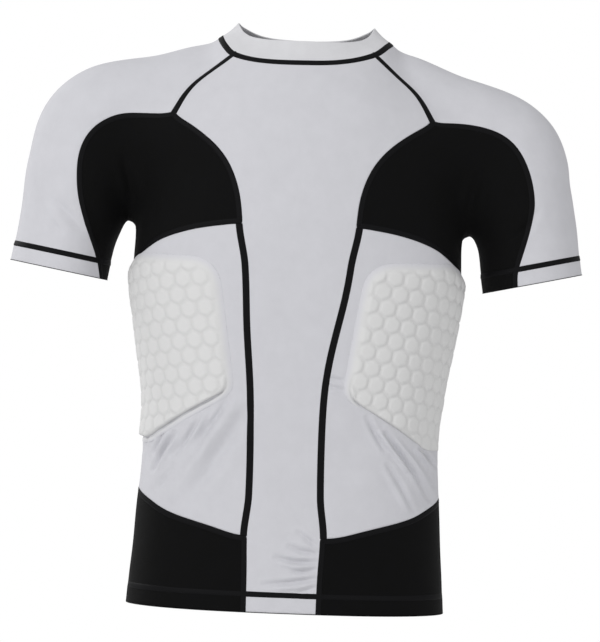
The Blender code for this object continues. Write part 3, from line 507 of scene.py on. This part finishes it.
# each cuff as its middle and the way up its arm
cuffs = {}
for side, sign in (("right", -1), ("left", 1)):
    ring = skin_spots[rims["cuff_" + side]]
    middle = ring.mean(axis=0)
    facing = np.linalg.svd(ring - middle)[2][2]
    facing = facing * (1 if facing[2] > 0 else -1)
    cuffs[side] = (middle, facing)
    height = (skin_spots - middle) @ facing * 1000.0
    on_arm = (skin_spots[:, 0] * sign > abs(middle[0]) - ARM_REACH) & (skin_spots[:, 2] > ARM_BOTTOM)
    doubled = 1 - ramp(height, CUFF_BAND - DOUBLED_STEP, CUFF_BAND + DOUBLED_STEP)
    lift += np.where(on_arm, DOUBLED * doubled, 0.0)

skin_spots += skin_outward * (lift / 1000.0)[:, None]
skin.vertices.foreach_set("co", skin_spots.ravel())
skin.update()
skin_outward = read(skin.vertex_normals, "vector", 3)
skin_tree = BVHTree.FromPolygons(skin_spots.tolist(), [face.vertices[:] for face in skin.polygons])

# The grey panels are a matt, fine stretch jersey in light grey. Each is one cut piece with its edges
# butted against the next one, and the sleeve and shoulder are one piece from the neck to the cuff.

CLOTH_THICK = 0.0010
# the knit is wrapped on rounds of these radii, in metres, so that its stitches keep their size
ARM_RADIUS, NECK_RADIUS, BODY_RADIUS = 0.056, 0.082, 0.15
# 0.9 mm wales and 0.7 mm courses, about twice the real gauge, so that the knit shows
WALE, COURSE = 0.0009, 0.0007
# the knit's colour is painted darker in the grooves between its stitches, as painted shade
LEG_LEAN, STITCH_GROOVE_SHADE, STITCH_RELIEF = 4.2, 0.12, 0.00012


def panel_cloth(place, thick):
    """One panel cut out of the skin, given its thickness inward, with its knit laid out in metres."""
    node = PANELS[place]
    cloth = bmesh.new()
    cloth.from_mesh(skin)
    label = cloth.faces.layers.int["panel"]
    others = [face for face in cloth.faces if face[label] != place]
    bmesh.ops.delete(cloth, geom=others, context="FACES")
    cloth.faces.layers.int.remove(label)
    layout = cloth.loops.layers.uv.new("knit")
    side = -1.0 if "right" in node else 1.0
    if "sleeve" in node or "underarm" in node:
        stop, along = cuffs["right" if side < 0 else "left"]
        radius = ARM_RADIUS
        outward = Vector((side if "sleeve" in node else -side, 0, 0))
    else:
        stop, along = np.zeros(3), np.array([0.0, 0.0, 1.0])
        radius = NECK_RADIUS if node == "neck_band" else BODY_RADIUS
        outward = Vector((0, 1, 0)) if node == "back_panel" else Vector((0, -1, 0))
    stop, along = Vector(stop), Vector(along)
    outward = (outward - along * outward.dot(along)).normalized()
    across = along.cross(outward)
    for face in cloth.faces:
        turns = []
        for loop in face.loops:
            away = loop.vert.co - stop
            turns.append(math.atan2(away.dot(across), away.dot(outward)))
        split = max(turns) - min(turns) > math.pi
        for loop, turn in zip(face.loops, turns):
            turn += 2 * math.pi if split and turn < 0 else 0.0
            loop[layout].uv = (turn * radius, (loop.vert.co - stop).dot(along))
        face.smooth = True
    piece = placed(node + "_cloth", mesh_from(node + "_cloth", cloth))
    wall = piece.modifiers.new("thickness", "SOLIDIFY")
    wall.thickness = thick
    wall.offset = -1.0
    wall.use_even_offset = False
    return piece


def stretch_knit(name, light, dark, rough, sheen, bump_depth):
    """A fine weft knit: columns of small V-shaped stitches, with a faint unevenness in the yarn, and
    painted shade in the grooves between them.
    """
    material, tree, shader = new_material(name)
    layout = add(tree, "ShaderNodeUVMap", uv_map="knit")
    parts = add(tree, "ShaderNodeSeparateXYZ", {"Vector": layout.outputs["UV"]})
    wale = add(tree, "ShaderNodeMath", {0: parts.outputs["X"], 1: 1 / WALE}, operation="MULTIPLY")
    in_wale = add(tree, "ShaderNodeMath", {0: wale.outputs[0], 1: 1.0}, operation="PINGPONG")
    course = add(
        tree, "ShaderNodeMath", {0: parts.outputs["Y"], 1: 2 * math.pi / COURSE}, operation="MULTIPLY",
    )
    lean = add(tree, "ShaderNodeMath", {0: in_wale.outputs[0], 1: LEG_LEAN}, operation="MULTIPLY")
    slant = add(tree, "ShaderNodeMath", {0: course.outputs[0], 1: lean.outputs[0]}, operation="ADD")
    leg = add(tree, "ShaderNodeMath", {0: slant.outputs[0]}, operation="SINE")
    round_leg = add(tree, "ShaderNodeMath", {0: in_wale.outputs[0], 1: math.pi}, operation="MULTIPLY")
    body = add(tree, "ShaderNodeMath", {0: round_leg.outputs[0]}, operation="SINE")
    stitch = add(tree, "ShaderNodeMath", {0: leg.outputs[0], 1: body.outputs[0]}, operation="MULTIPLY")
    place = add(tree, "ShaderNodeTexCoord")
    uneven = add(
        tree, "ShaderNodeTexNoise",
        {"Vector": place.outputs["Object"], "Scale": 55.0, "Detail": 5.0, "Roughness": 0.62},
    )
    shade = add(
        tree, "ShaderNodeMapRange",
        {"Value": uneven.outputs["Fac"], "From Min": 0.3, "From Max": 0.7, "To Min": 0.0, "To Max": 1.0},
    )
    # painted shade in the stitch grooves, added to the yarn's own uneven tone
    groove_shade_and_yarn_tone = add(
        tree, "ShaderNodeMath",
        {0: stitch.outputs[0], 1: STITCH_GROOVE_SHADE, 2: shade.outputs[0]}, operation="MULTIPLY_ADD",
    )
    colour = add(
        tree, "ShaderNodeMix",
        {"Factor": groove_shade_and_yarn_tone.outputs[0], "A": linear(dark), "B": linear(light)}, data_type="RGBA",
    )
    tree.links.new(colour.outputs["Result"], shader.inputs["Base Color"])
    relief = add(
        tree, "ShaderNodeBump",
        {"Height": stitch.outputs[0], "Strength": bump_depth, "Distance": STITCH_RELIEF},
    )
    tree.links.new(relief.outputs["Normal"], shader.inputs["Normal"])
    shader.inputs["Roughness"].default_value = rough
    shader.inputs["Specular IOR Level"].default_value = 0.25
    shader.inputs["Sheen Weight"].default_value = sheen
    shader.inputs["Sheen Roughness"].default_value = 0.45
    return material


# polyester jersey, finely knitted: even and matt, with a faint bloom where it turns away
grey_knit = stretch_knit("grey_polyester_jersey", "#C6C6CB", "#C2C2C7", 0.85, 0.04, 0.4)


def dress(place, thick, material):
    node = PANELS[place]
    piece = panel_cloth(place, thick)
    piece.data.materials.append(material)
    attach(piece, "root")
    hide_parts(node)
    return piece


for place in GREY:
    dress(place, CLOTH_THICK, grey_knit)

# The black panels are the same jersey dyed black: one at each side of the chest that runs under the
# arm to the cuff, and one wedge at each hip. They are cut and sewn like the grey ones.

# dyed polyester jersey: deep and dull, so its stitches and folds hardly show
black_knit = stretch_knit("black_polyester_jersey", "#060607", "#050505", 0.8, 0.01, 0.4)
black_knit.node_tree.nodes["Principled BSDF"].inputs["Specular IOR Level"].default_value = 0.1
for place in BLACK:
    dress(place, CLOTH_THICK, black_knit)

# The neck band is a strip of the grey knit, folded double and sewn on, so it stands up a little and
# its top edge is round.

BAND_THICK = 0.0020
EDGE_ROUND = 0.0008
# the same grey yarn, its colour painted a touch lighter than the panels beside it: painted light, for the
# brighter light on the top of the shirt
band_knit_painted_light = stretch_knit("grey_rib_knit", "#CECED1", "#C9C9CC", 0.85, 0.04, 0.4)
neck_band = dress(COLLAR, BAND_THICK, band_knit_painted_light)
roll = neck_band.modifiers.new("rolled_edge", "BEVEL")
roll.width = EDGE_ROUND
roll.segments = 3
roll.limit_method = "ANGLE"
roll.angle_limit = math.radians(60)

# The flatlock seams. Four needles of black thread join the butted edges, and leave a flat black
# band 6 to 8 mm wide. Beside a black panel the band lies on the black side of the join.

# the band's cross-section: places over half its width, and heights over the cloth in mm
SECTION = [
    (-1.0, -0.35), (-0.92, 0.22), (-0.5, 0.50), (0.0, 0.42), (0.5, 0.50), (0.92, 0.22), (1.0, -0.35),
    (0.4, -0.45), (-0.4, -0.45), (-1.0, -0.35),
]
STITCH_STEP = 1.3
STITCH_PITCH, THREAD_RELIEF, SAME_SPOT = 0.0022, 0.0002, 0.000002
# how far the raglan seams run on under the seams at their ends, in metres
SEAM_OVERLAP = 0.0035
# over this length in mm the front seams ease back onto the join at both ends
FRONT_EASE = 45.0
# half the width of each band, and how far it lies beside the join, in mm
BANDS = {
    "neck": (3.5, 0.0), "raglan": ((2.9, 4.1), 0.0), "front": (4.0, 3.0), "side": (3.6, 0.0),
    "chest": (3.2, 2.2), "hip": (3.2, 2.2),
}
# each seam: the panel that it goes round, and the panels on its other side
SEAMS = {
    "flatlock_neck": (COLLAR, (FRONT, BACK, SLEEVE_RIGHT, SLEEVE_LEFT)),
    "flatlock_raglan_right": (SLEEVE_RIGHT, (FRONT, BACK)),
    "flatlock_raglan_left": (SLEEVE_LEFT, (FRONT, BACK)),
    "flatlock_front_right": (SIDE_RIGHT, (FRONT,)),
    "flatlock_front_left": (SIDE_LEFT, (FRONT,)),
    "flatlock_side_right": (SIDE_RIGHT, (BACK,)),
    "flatlock_side_left": (SIDE_LEFT, (BACK,)),
    "flatlock_chest_right": (UNDERARM_RIGHT, (FRONT, SIDE_RIGHT, SLEEVE_RIGHT, BACK)),
    "flatlock_chest_left": (UNDERARM_LEFT, (FRONT, SIDE_LEFT, SLEEVE_LEFT, BACK)),
    "flatlock_hip_right": (HIP_RIGHT, (FRONT, SIDE_RIGHT, BACK)),
    "flatlock_hip_left": (HIP_LEFT, (FRONT, SIDE_LEFT, BACK)),
}


def stitched_band(mesh, line, outward, half, shift, closed):
    """A low band of thread laid along a line on the skin; half and shift in mm may vary along it."""
    points, length = spaced(np.column_stack([line, outward]), STITCH_STEP / 1000)
    points, outward = points[:, :3], points[:, 3:]
    count, rounds = len(points), len(SECTION)
    half, shift = np.broadcast_to(half, count), np.broadcast_to(shift, count)
    points = evened(points, 5, closed)
    ahead = np.gradient(points, axis=0)
    if closed:
        ahead[0] = ahead[-1] = points[1] - points[-2]
        outward[0] = outward[-1] = outward[0] + outward[-1]
    outward = outward / np.linalg.norm(outward, axis=1)[:, None]
    across = np.cross(outward, ahead)
    across /= np.linalg.norm(across, axis=1)[:, None]
    layout = mesh.loops.layers.uv.verify()
    made = bmesh.ops.create_grid(mesh, x_segments=count - 1, y_segments=rounds - 1, size=1.0)["verts"]
    place = {}
    for vert in made:
        step = int(round((vert.co.x + 1) / 2 * (count - 1)))
        around = int(round((vert.co.y + 1) / 2 * (rounds - 1)))
        place[vert] = (step, around)
        reach, height = SECTION[around]
        spot = points[step] + across[step] * (reach * half[step] + shift[step]) / 1000
        hit = skin_tree.find_nearest(Vector(spot), 0.01)
        spot = hit[0] if hit[0] is not None else Vector(spot)
        vert.co = spot + Vector(outward[step]) * height / 1000
    for face in {face for vert in made for face in vert.link_faces}:
        face.smooth = True
        for loop in face.loops:
            step, around = place[loop.vert]
            loop[layout].uv = (step * length / (count - 1), SECTION[around][0])
    bmesh.ops.remove_doubles(mesh, verts=made, dist=SAME_SPOT)


def thread_cover(name):
    """Spun polyester thread in close slanted stitches, coloured lighter on the raised rows as painted
    highlights.
    """
    material, tree, shader = new_material(name)
    layout = add(tree, "ShaderNodeUVMap", uv_map="UVMap")
    parts = add(tree, "ShaderNodeSeparateXYZ", {"Vector": layout.outputs["UV"]})
    # one stitch each 2.2 mm, coarser than the real 1 mm, so that it shows
    along = add(
        tree, "ShaderNodeMath",
        {0: parts.outputs["X"], 1: 2 * math.pi / STITCH_PITCH}, operation="MULTIPLY",
    )
    slant = add(
        tree, "ShaderNodeMath",
        {0: parts.outputs["Y"], 1: 3.0, 2: along.outputs[0]}, operation="MULTIPLY_ADD",
    )
    stitches = add(tree, "ShaderNodeMath", {0: slant.outputs[0]}, operation="SINE")
    rows = add(tree, "ShaderNodeMath", {0: parts.outputs["Y"], 1: 2.5 * math.pi}, operation="MULTIPLY")
    row = add(tree, "ShaderNodeMath", {0: rows.outputs[0]}, operation="COSINE")
    thread = add(tree, "ShaderNodeMath", {0: stitches.outputs[0], 1: row.outputs[0]}, operation="ADD")
    shade = add(
        tree, "ShaderNodeMapRange",
        {"Value": thread.outputs[0], "From Min": -2.0, "From Max": 2.0, "To Min": 0.0, "To Max": 1.0},
    )
    # lighter on the raised thread and darker between the rows: painted highlights and painted shade
    colour = add(
        tree, "ShaderNodeMix",
        {"Factor": shade.outputs[0], "A": linear("#050506"), "B": linear("#0B0B0D")}, data_type="RGBA",
    )
    tree.links.new(colour.outputs["Result"], shader.inputs["Base Color"])
    relief = add(
        tree, "ShaderNodeBump",
        {"Height": thread.outputs[0], "Strength": 0.6, "Distance": THREAD_RELIEF},
    )
    tree.links.new(relief.outputs["Normal"], shader.inputs["Normal"])
    shader.inputs["Roughness"].default_value = 0.65
    shader.inputs["Specular IOR Level"].default_value = 0.1
    return material


black_thread = thread_cover("black_polyester_thread")


def thread_piece(name, mesh):
    """Closes the ends of the bands in a mesh and puts it in the scene as black thread."""
    ends = [edge for edge in mesh.edges if edge.is_boundary]
    bmesh.ops.holes_fill(mesh, edges=ends, sides=0)
    bmesh.ops.recalc_face_normals(mesh, faces=mesh.faces)
    piece = placed(name, mesh_from(name, mesh))
    piece.data.materials.append(black_thread)
    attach(piece, "root")


# the lowest and the highest panel at each edge of the skin
loop_labels = np.repeat(skin_labels, read(skin.polygons, "loop_total", 1, np.int32))
low = np.full(len(skin_edges), 99)
high = np.full(len(skin_edges), -1)
np.minimum.at(low, loop_edges, loop_labels)
np.maximum.at(high, loop_edges, loop_labels)
for name, (panel, neighbours) in SEAMS.items():
    mesh = bmesh.new()
    chosen = np.zeros(len(skin_edges), dtype=bool)
    for other in neighbours:
        chosen |= (low == min(panel, other)) & (high == max(panel, other))
    half_width, beside_join = next(sizes for kind, sizes in BANDS.items() if kind in name)
    for line in lines_of(skin_edges[chosen]):
        if len(line) < 4:
            continue
        closed = line[0] == line[-1]
        path, outward = skin_spots[line], skin_outward[line]
        if "raglan" in name:
            # both ends run on under the next seam
            first, last = path[0] - path[3], path[-1] - path[-4]
            first, last = first / np.linalg.norm(first), last / np.linalg.norm(last)
            path = np.vstack([path[0] + first * SEAM_OVERLAP, path, path[-1] + last * SEAM_OVERLAP])
            outward = np.vstack([outward[:1], outward, outward[-1:]])
        half, shift = half_width, beside_join
        middle = len(line) // 2
        ahead = path[middle] - path[middle - 1]
        across = np.cross(outward[middle], ahead)
        across /= np.linalg.norm(across)
        count = len(spaced(path, STITCH_STEP / 1000)[0])
        if "raglan" in name:
            toward = path[0][2] < path[-1][2]
            half = np.linspace(*((half[1], half[0]) if toward else half), count)
        if shift:
            # onto the black panel, or off the front panel
            hit = skin_tree.find_nearest(Vector(path[middle] + across * 0.004), 0.02)
            beside = skin_labels[hit[2]]
            side = 1 if (beside != FRONT if "front" in name else beside in BLACK) else -1
            ease = np.ones(count)
            if "front" in name:
                ends = np.minimum(np.arange(count), np.arange(count)[::-1]) * STITCH_STEP
                ease = 1 - ramp(ends, 0.0, FRONT_EASE)
            shift = side * shift * ease
        stitched_band(mesh, path, outward, half, shift, closed)
    thread_piece(name, mesh)

# The hem and the cuffs are turned up once and held by a black cover stitch, 20 mm above the hem and
# 19 mm above each cuff. A fine overlock in the same thread closes the folded edge.

# half the widths of the two rows of thread in mm, and how near its cuff a sleeve is looked at, in m
COVERSTITCH_HALF, OVERLOCK_HALF, NEAR_CUFF = 3.1, 0.8, 0.09
turned = {"hem": (np.array([0, 0, -HEM_LEVEL / 1000]), np.array([0.0, 0.0, 1.0]), HEM_BAND)}
turned["cuff_right"] = (*cuffs["right"], CUFF_BAND)
turned["cuff_left"] = (*cuffs["left"], CUFF_BAND)
for name, (middle, facing, band) in turned.items():
    slice_mesh = bmesh.new()
    slice_mesh.from_mesh(skin)
    if name != "hem":
        far = [
            face for face in slice_mesh.faces
            if (face.calc_center_median() - Vector(middle)).length > NEAR_CUFF
        ]
        bmesh.ops.delete(slice_mesh, geom=far, context="FACES")
    cut = bmesh.ops.bisect_plane(
        slice_mesh, geom=[*slice_mesh.verts, *slice_mesh.edges, *slice_mesh.faces], dist=1e-7,
        plane_co=Vector(middle + facing * band / 1000), plane_no=Vector(facing),
    )["geom_cut"]
    slice_mesh.verts.index_update()
    slice_mesh.verts.ensure_lookup_table()
    edges = np.array([
        [vert.index for vert in edge.verts] for edge in cut if isinstance(edge, bmesh.types.BMEdge)
    ])
    lines = sorted(lines_of(edges), key=len)
    path = np.array([slice_mesh.verts[vert].co for vert in lines[-1]])
    slice_mesh.free()
    outward = np.array([skin_tree.find_nearest(Vector(spot))[1] for spot in path])
    mesh = bmesh.new()
    stitched_band(mesh, path, outward, COVERSTITCH_HALF, 0.0, True)
    thread_piece("coverstitch_" + name, mesh)
    mesh = bmesh.new()
    rim = rims[name]
    stitched_band(mesh, skin_spots[rim], skin_outward[rim], OVERLOCK_HALF, 0.0, True)
    thread_piece("overlock_" + name, mesh)

# The rib pads. Each is a sheet of soft foam moulded in round-cornered hexagons, laminated between two
# layers of smooth white stretch cloth and sewn to the side panel by a plain flange all round it.

# the corners in mm round the side and in height, with the radius of each; lengths here are in mm
PAD_CORNERS = [
    (75, -243, 38), (59, -389, 24), (172, -448, 40), (262, -450, 24), (262, -260, 30), (180, -240, 60),
]
CELL_ORIGIN = {"right": (128.5, -353.7), "left": (140.2, -347.6)}
# how far each pad sits round from the corners above, and the height, in metres, of that measure
PAD_SHIFTS, PAD_SECTION = {"right": 5.0, "left": -5.0}, -0.335
CELL_PITCH, CELL_LEAN = 19.0, math.radians(9.0)
LATTICE_STEP = CELL_PITCH / 12
CLEAR_OF_RIM, LEAST_CELL = 0.55 * LATTICE_STEP, 2.0
# heights over the cloth of the flange and the grooves, of the cells over the grooves, and the drop
# of the crease at the lower edge
FLANGE, GROOVE, CELL_RISE, CREASE_DROP = 2.6, 3.8, 1.45, 2.4
# the flat top and the foot of a cell over its pitch, and how much its dome falls off
CELL_TOP, CELL_FOOT, DOME_FALL = 0.35, 0.485, 0.22
# how much thinner the flange is along the lower edge, and the left pad at its lower outer corner
LOW_FLANGE, CORNER_FLAT = 0.72, 0.85
# where the raised foam begins inside the outline, and where it does so along the lower edge
ZONE_INSET, LOW_INSET = 8.0, {"right": 7.0, "left": 3.0}
CREASE_ROWS, CLEAR_OF_CREASE = (-1.7, -0.4, 0.5, 1.5, 2.6), 0.9
RIM_SUNK, INNER_SUNK = 0.25, 0.0005


def pad_outline(step):
    """The pad's outline with its corners rounded, in mm round the side and in height."""
    corners = np.array([corner[:2] for corner in PAD_CORNERS], dtype=float)
    points = []
    for place, corner in enumerate(corners):
        before = corners[place - 1] - corner
        after = corners[(place + 1) % len(corners)] - corner
        before_length, after_length = np.linalg.norm(before), np.linalg.norm(after)
        before, after = before / before_length, after / after_length
        half_angle = math.acos(before @ after) / 2
        cut = min(PAD_CORNERS[place][2] / math.tan(half_angle), 0.48 * before_length, 0.48 * after_length)
        for share in np.linspace(0.0, 1.0, 13):
            points.append(
                (corner + before * cut) * (1 - share) ** 2 + 2 * corner * share * (1 - share)
                + (corner + after * cut) * share ** 2
            )
    return spaced(points + [points[0]], step)[0][:-1]


def inside_by(points, outline):
    """How far points lie inside a closed outline, negative outside it."""
    away = np.full(len(points), 1e9)
    inside = np.zeros(len(points), dtype=bool)
    for start, stop in zip(outline, np.roll(outline, -1, axis=0)):
        run = stop - start
        share = np.clip((points - start) @ run / (run @ run), 0.0, 1.0)
        away = np.minimum(away, np.linalg.norm(points - start - share[:, None] * run, axis=1))
        crosses = (start[1] > points[:, 1]) != (stop[1] > points[:, 1])
        rise = run[1] if abs(run[1]) > 1e-9 else 1e-9
        inside ^= crosses & (points[:, 0] < start[0] + (points[:, 1] - start[1]) / rise * run[0])
    return np.where(inside, away, -away)


def seated(points, sign, shift, turns, lengths):
    """Places on the skin under flat points of the pad."""
    around = np.interp(points[:, 0] + shift, lengths, turns)
    seats = []
    for angle, height in zip(around, points[:, 1] / 1000):
        ray = Vector((sign * math.sin(angle), -math.cos(angle), 0))
        seats.append(skin_tree.ray_cast(Vector((0, 0, height)), ray)[0])
    return np.array(seats)


outline = pad_outline(LATTICE_STEP)
lean = np.array([[math.cos(CELL_LEAN), math.sin(CELL_LEAN)], [-math.sin(CELL_LEAN), math.cos(CELL_LEAN)]])


def honeycomb(origin, pitch, reach):
    """Places of a honeycomb's middles round one of them, leaning as the pad's cells do."""
    steps = np.array([
        ((column + 0.5 * (row % 2)) * pitch, row * pitch * math.sqrt(3) / 2)
        for row in range(-reach, reach + 1) for column in range(-reach, reach + 1)
    ])
    return np.array(origin) + steps @ lean.T


def low_part(points):
    """1 along the pad's lower edge, where the foam ends in a step with a crease under it, 0 elsewhere."""
    low_edge = np.array([corner[:2] for corner in PAD_CORNERS[1:4]], dtype=float)
    gap = np.linalg.norm(points[:, None] - spaced(low_edge, 2.0)[0][None], axis=2).min(axis=1)
    return (1 - ramp(gap, 12.0, 30.0)) * ramp(points[:, 0], 60.0, 84.0)


def low_inset(points, side):
    """How far inside the pad's outline its foam cells begin, in mm."""
    return ZONE_INSET + (LOW_INSET[side] - ZONE_INSET) * low_part(points)


# smooth brushed tricot over foam: white, soft and dull, and greyer where it thins at the flange
pad_cover, cover_tree, cover_shader = new_material("white_stretch_foam_cover")
cover_zone = add(cover_tree, "ShaderNodeAttribute", attribute_name="zone")
cover_groove_shade = add(cover_tree, "ShaderNodeAttribute", attribute_name="disc")
edge_to_foam = add(
    cover_tree, "ShaderNodeMix",
    {"Factor": cover_zone.outputs["Fac"], "A": linear("#C6C6CB"), "B": linear("#CECECE")},
    data_type="RGBA",
)
# the grooves between the cells are coloured a little darker: painted shade
painted_groove_shade = add(
    cover_tree, "ShaderNodeMix",
    {"Factor": cover_groove_shade.outputs["Fac"], "A": edge_to_foam.outputs["Result"], "B": linear("#F9F9F9")},
    data_type="RGBA", blend_type="MULTIPLY",
)
# a dark grey painted shadow in the crease under the foam's lower edge
cover_crease_shadow = add(cover_tree, "ShaderNodeAttribute", attribute_name="crease_line")
painted_crease_shadow = add(
    cover_tree, "ShaderNodeMix",
    {"Factor": cover_crease_shadow.outputs["Fac"], "A": painted_groove_shade.outputs["Result"], "B": linear("#909093")},
    data_type="RGBA",
)
cover_place = add(cover_tree, "ShaderNodeTexCoord")
cover_grain = add(
    cover_tree, "ShaderNodeTexNoise",
    {"Vector": cover_place.outputs["Object"], "Scale": 900.0, "Detail": 3.0, "Roughness": 0.6},
)
cover_relief = add(
    cover_tree, "ShaderNodeBump",
    {"Height": cover_grain.outputs["Fac"], "Strength": 0.3, "Distance": 0.0001},
)
cover_tree.links.new(painted_crease_shadow.outputs["Result"], cover_shader.inputs["Base Color"])
cover_tree.links.new(cover_relief.outputs["Normal"], cover_shader.inputs["Normal"])
cover_shader.inputs["Roughness"].default_value = 0.7
cover_shader.inputs["Specular IOR Level"].default_value = 0.3
cover_shader.inputs["Sheen Weight"].default_value = 0.1

for side, sign in (("right", -1), ("left", 1)):
    lattice = honeycomb(CELL_ORIGIN[side], LATTICE_STEP, 130)
    lattice = lattice[inside_by(lattice, outline[::6]) > -3]
    lattice = lattice[inside_by(lattice, outline) > CLEAR_OF_RIM]
    # closer points where the foam's lower edge drops into its crease
    ahead = np.roll(outline, -1, axis=0) - np.roll(outline, 1, axis=0)
    inward = np.stack([-ahead[:, 1], ahead[:, 0]], axis=1) / np.linalg.norm(ahead, axis=1)[:, None]
    inward *= np.sign(inside_by(outline + inward * 0.5, outline))[:, None]
    crease = [
        outline + inward * (low_inset(outline, side)[:, None] + offset) for offset in CREASE_ROWS
    ]
    crease = np.vstack([row[low_part(outline) > 0.25] for row in crease])
    crease = crease[inside_by(crease, outline) > CLEAR_OF_CREASE]
    clear = np.linalg.norm(lattice[:, None] - crease[None], axis=2).min(axis=1) > CLEAR_OF_CREASE
    flat_points = np.vstack([outline, lattice[clear], crease])
    rim_count = len(outline)
    rim_edges = [(k, (k + 1) % rim_count) for k in range(rim_count)]
    joined = delaunay_2d_cdt(
        [Vector(point) for point in flat_points.tolist()], rim_edges, [], 1, 1e-5,
    )
    source = [origin[0] for origin in joined[3]]
    pad_faces = [[source[corner] for corner in face] for face in joined[2]]

    # how high the foam stands at each point: flange, then grooves, with a low dome on each cell
    depth_in = inside_by(flat_points, outline)
    lowness = low_part(flat_points)
    inset = low_inset(flat_points, side)
    cells = honeycomb(CELL_ORIGIN[side], CELL_PITCH, 10)
    cells = cells[inside_by(cells, outline) > LEAST_CELL]
    gaps = flat_points[:, None] - cells[None]
    reach = np.linalg.norm(gaps, axis=2)
    offsets = gaps[np.arange(len(flat_points)), reach.argmin(axis=1)]
    angles = np.arange(6) * math.pi / 3 - CELL_LEAN
    hexagonal = np.max(offsets @ np.stack([np.cos(angles), np.sin(angles)]), axis=1)
    rounded = 0.5 * hexagonal + 0.5 * reach.min(axis=1)
    zone = ramp(depth_in, inset - 3.0 + 3.2 * lowness, inset + 5.0 - 2.9 * lowness)
    disc = 1 - ramp(rounded, CELL_PITCH * CELL_TOP, CELL_PITCH * CELL_FOOT)
    dome = 1 - DOME_FALL * (np.minimum(rounded, CELL_PITCH / 2) / (CELL_PITCH / 2)) ** 2
    flange = FLANGE * (1 - LOW_FLANGE * lowness)
    pad_lift = -0.2 + (flange + 0.2) * ramp(depth_in, -0.5, 8.0 - 4.5 * lowness)
    pad_lift += zone * (GROOVE - flange + CELL_RISE * disc * dome)
    # the crease along the lower edge: the cloth drops there, and the cover is coloured dark along it as a
    # painted shadow
    crease_line = lowness * np.exp(-((depth_in - inset) / 1.0) ** 2)
    pad_lift -= CREASE_DROP * crease_line
    if side == "left":
        # this one lies closer at its lower outer corner
        above = flat_points[:, 1] - PAD_CORNERS[2][1]
        low_corner = (1 - ramp(above, 4.0, 60.0)) * ramp(flat_points[:, 0], 135.0, 172.0)
        pad_lift *= 1 - CORNER_FLAT * low_corner
    pad_lift = np.maximum(pad_lift, -0.3)
    pad_lift[:rim_count] = -RIM_SUNK

    # the flat pad is laid round the side: how far round the cloth each angle lies
    turns = np.radians(np.linspace(0.0, 140.0, 281))
    section = []
    for angle in turns:
        ray = Vector((sign * math.sin(angle), -math.cos(angle), 0))
        section.append(skin_tree.ray_cast(Vector((0, 0, PAD_SECTION)), ray)[0])
    section = np.array(section) * 1000
    seats = seated(flat_points, sign, PAD_SHIFTS[side], turns, run_along(section))
    # the underside lies on the skin, and a copy of it, raised to each point's height, is the top
    pad = bmesh.new()
    zone_layer = pad.verts.layers.float.new("zone")
    groove_shade_layer = pad.verts.layers.float.new("disc")
    crease_shadow_layer = pad.verts.layers.float.new("crease_line")
    seat_verts = [pad.verts.new(seat) for seat in seats.tolist()]
    for face in pad_faces:
        pad.faces.new([seat_verts[corner] for corner in (face if sign < 0 else face[::-1])])
    pad.normal_update()
    away = np.array([vert.normal for vert in seat_verts])
    facing = (away * seats * [1, 1, 0]).sum(axis=1)
    outward = away * np.sign(facing)[:, None]
    if (facing < 0).mean() > 0.5:
        bmesh.ops.reverse_faces(pad, faces=pad.faces)
    under_faces = list(pad.faces)
    copies = bmesh.ops.duplicate(pad, geom=list(pad.verts) + list(pad.edges) + under_faces)["vert_map"]
    bmesh.ops.reverse_faces(pad, faces=under_faces)
    for place, seat in enumerate(seat_verts):
        vert = copies[seat]
        vert.co = seat.co + Vector(outward[place]) * pad_lift[place] / 1000
        vert[zone_layer] = float(ramp(depth_in[place], inset[place] - 7.0, inset[place] + 1.5))
        # where the painted shade of the grooves goes
        vert[groove_shade_layer] = float(zone[place] * (1 - disc[place]))
        # where the painted shadow of the crease goes
        vert[crease_shadow_layer] = float(crease_line[place])
        if place >= rim_count:
            seat.co = seat.co - Vector(outward[place]) * INNER_SUNK
        else:
            seat.co = vert.co
    bmesh.ops.remove_doubles(pad, verts=pad.verts, dist=SAME_SPOT)
    for face in pad.faces:
        face.smooth = True
    pad_data = mesh_from("rib_pad_%s_foam" % side, pad)
    pad_data.materials.append(pad_cover)
    pad_object = placed("rib_pad_%s_foam" % side, pad_data)
    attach(pad_object, "root")
    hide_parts("rib_pad_" + side)

bpy.data.meshes.remove(skin)
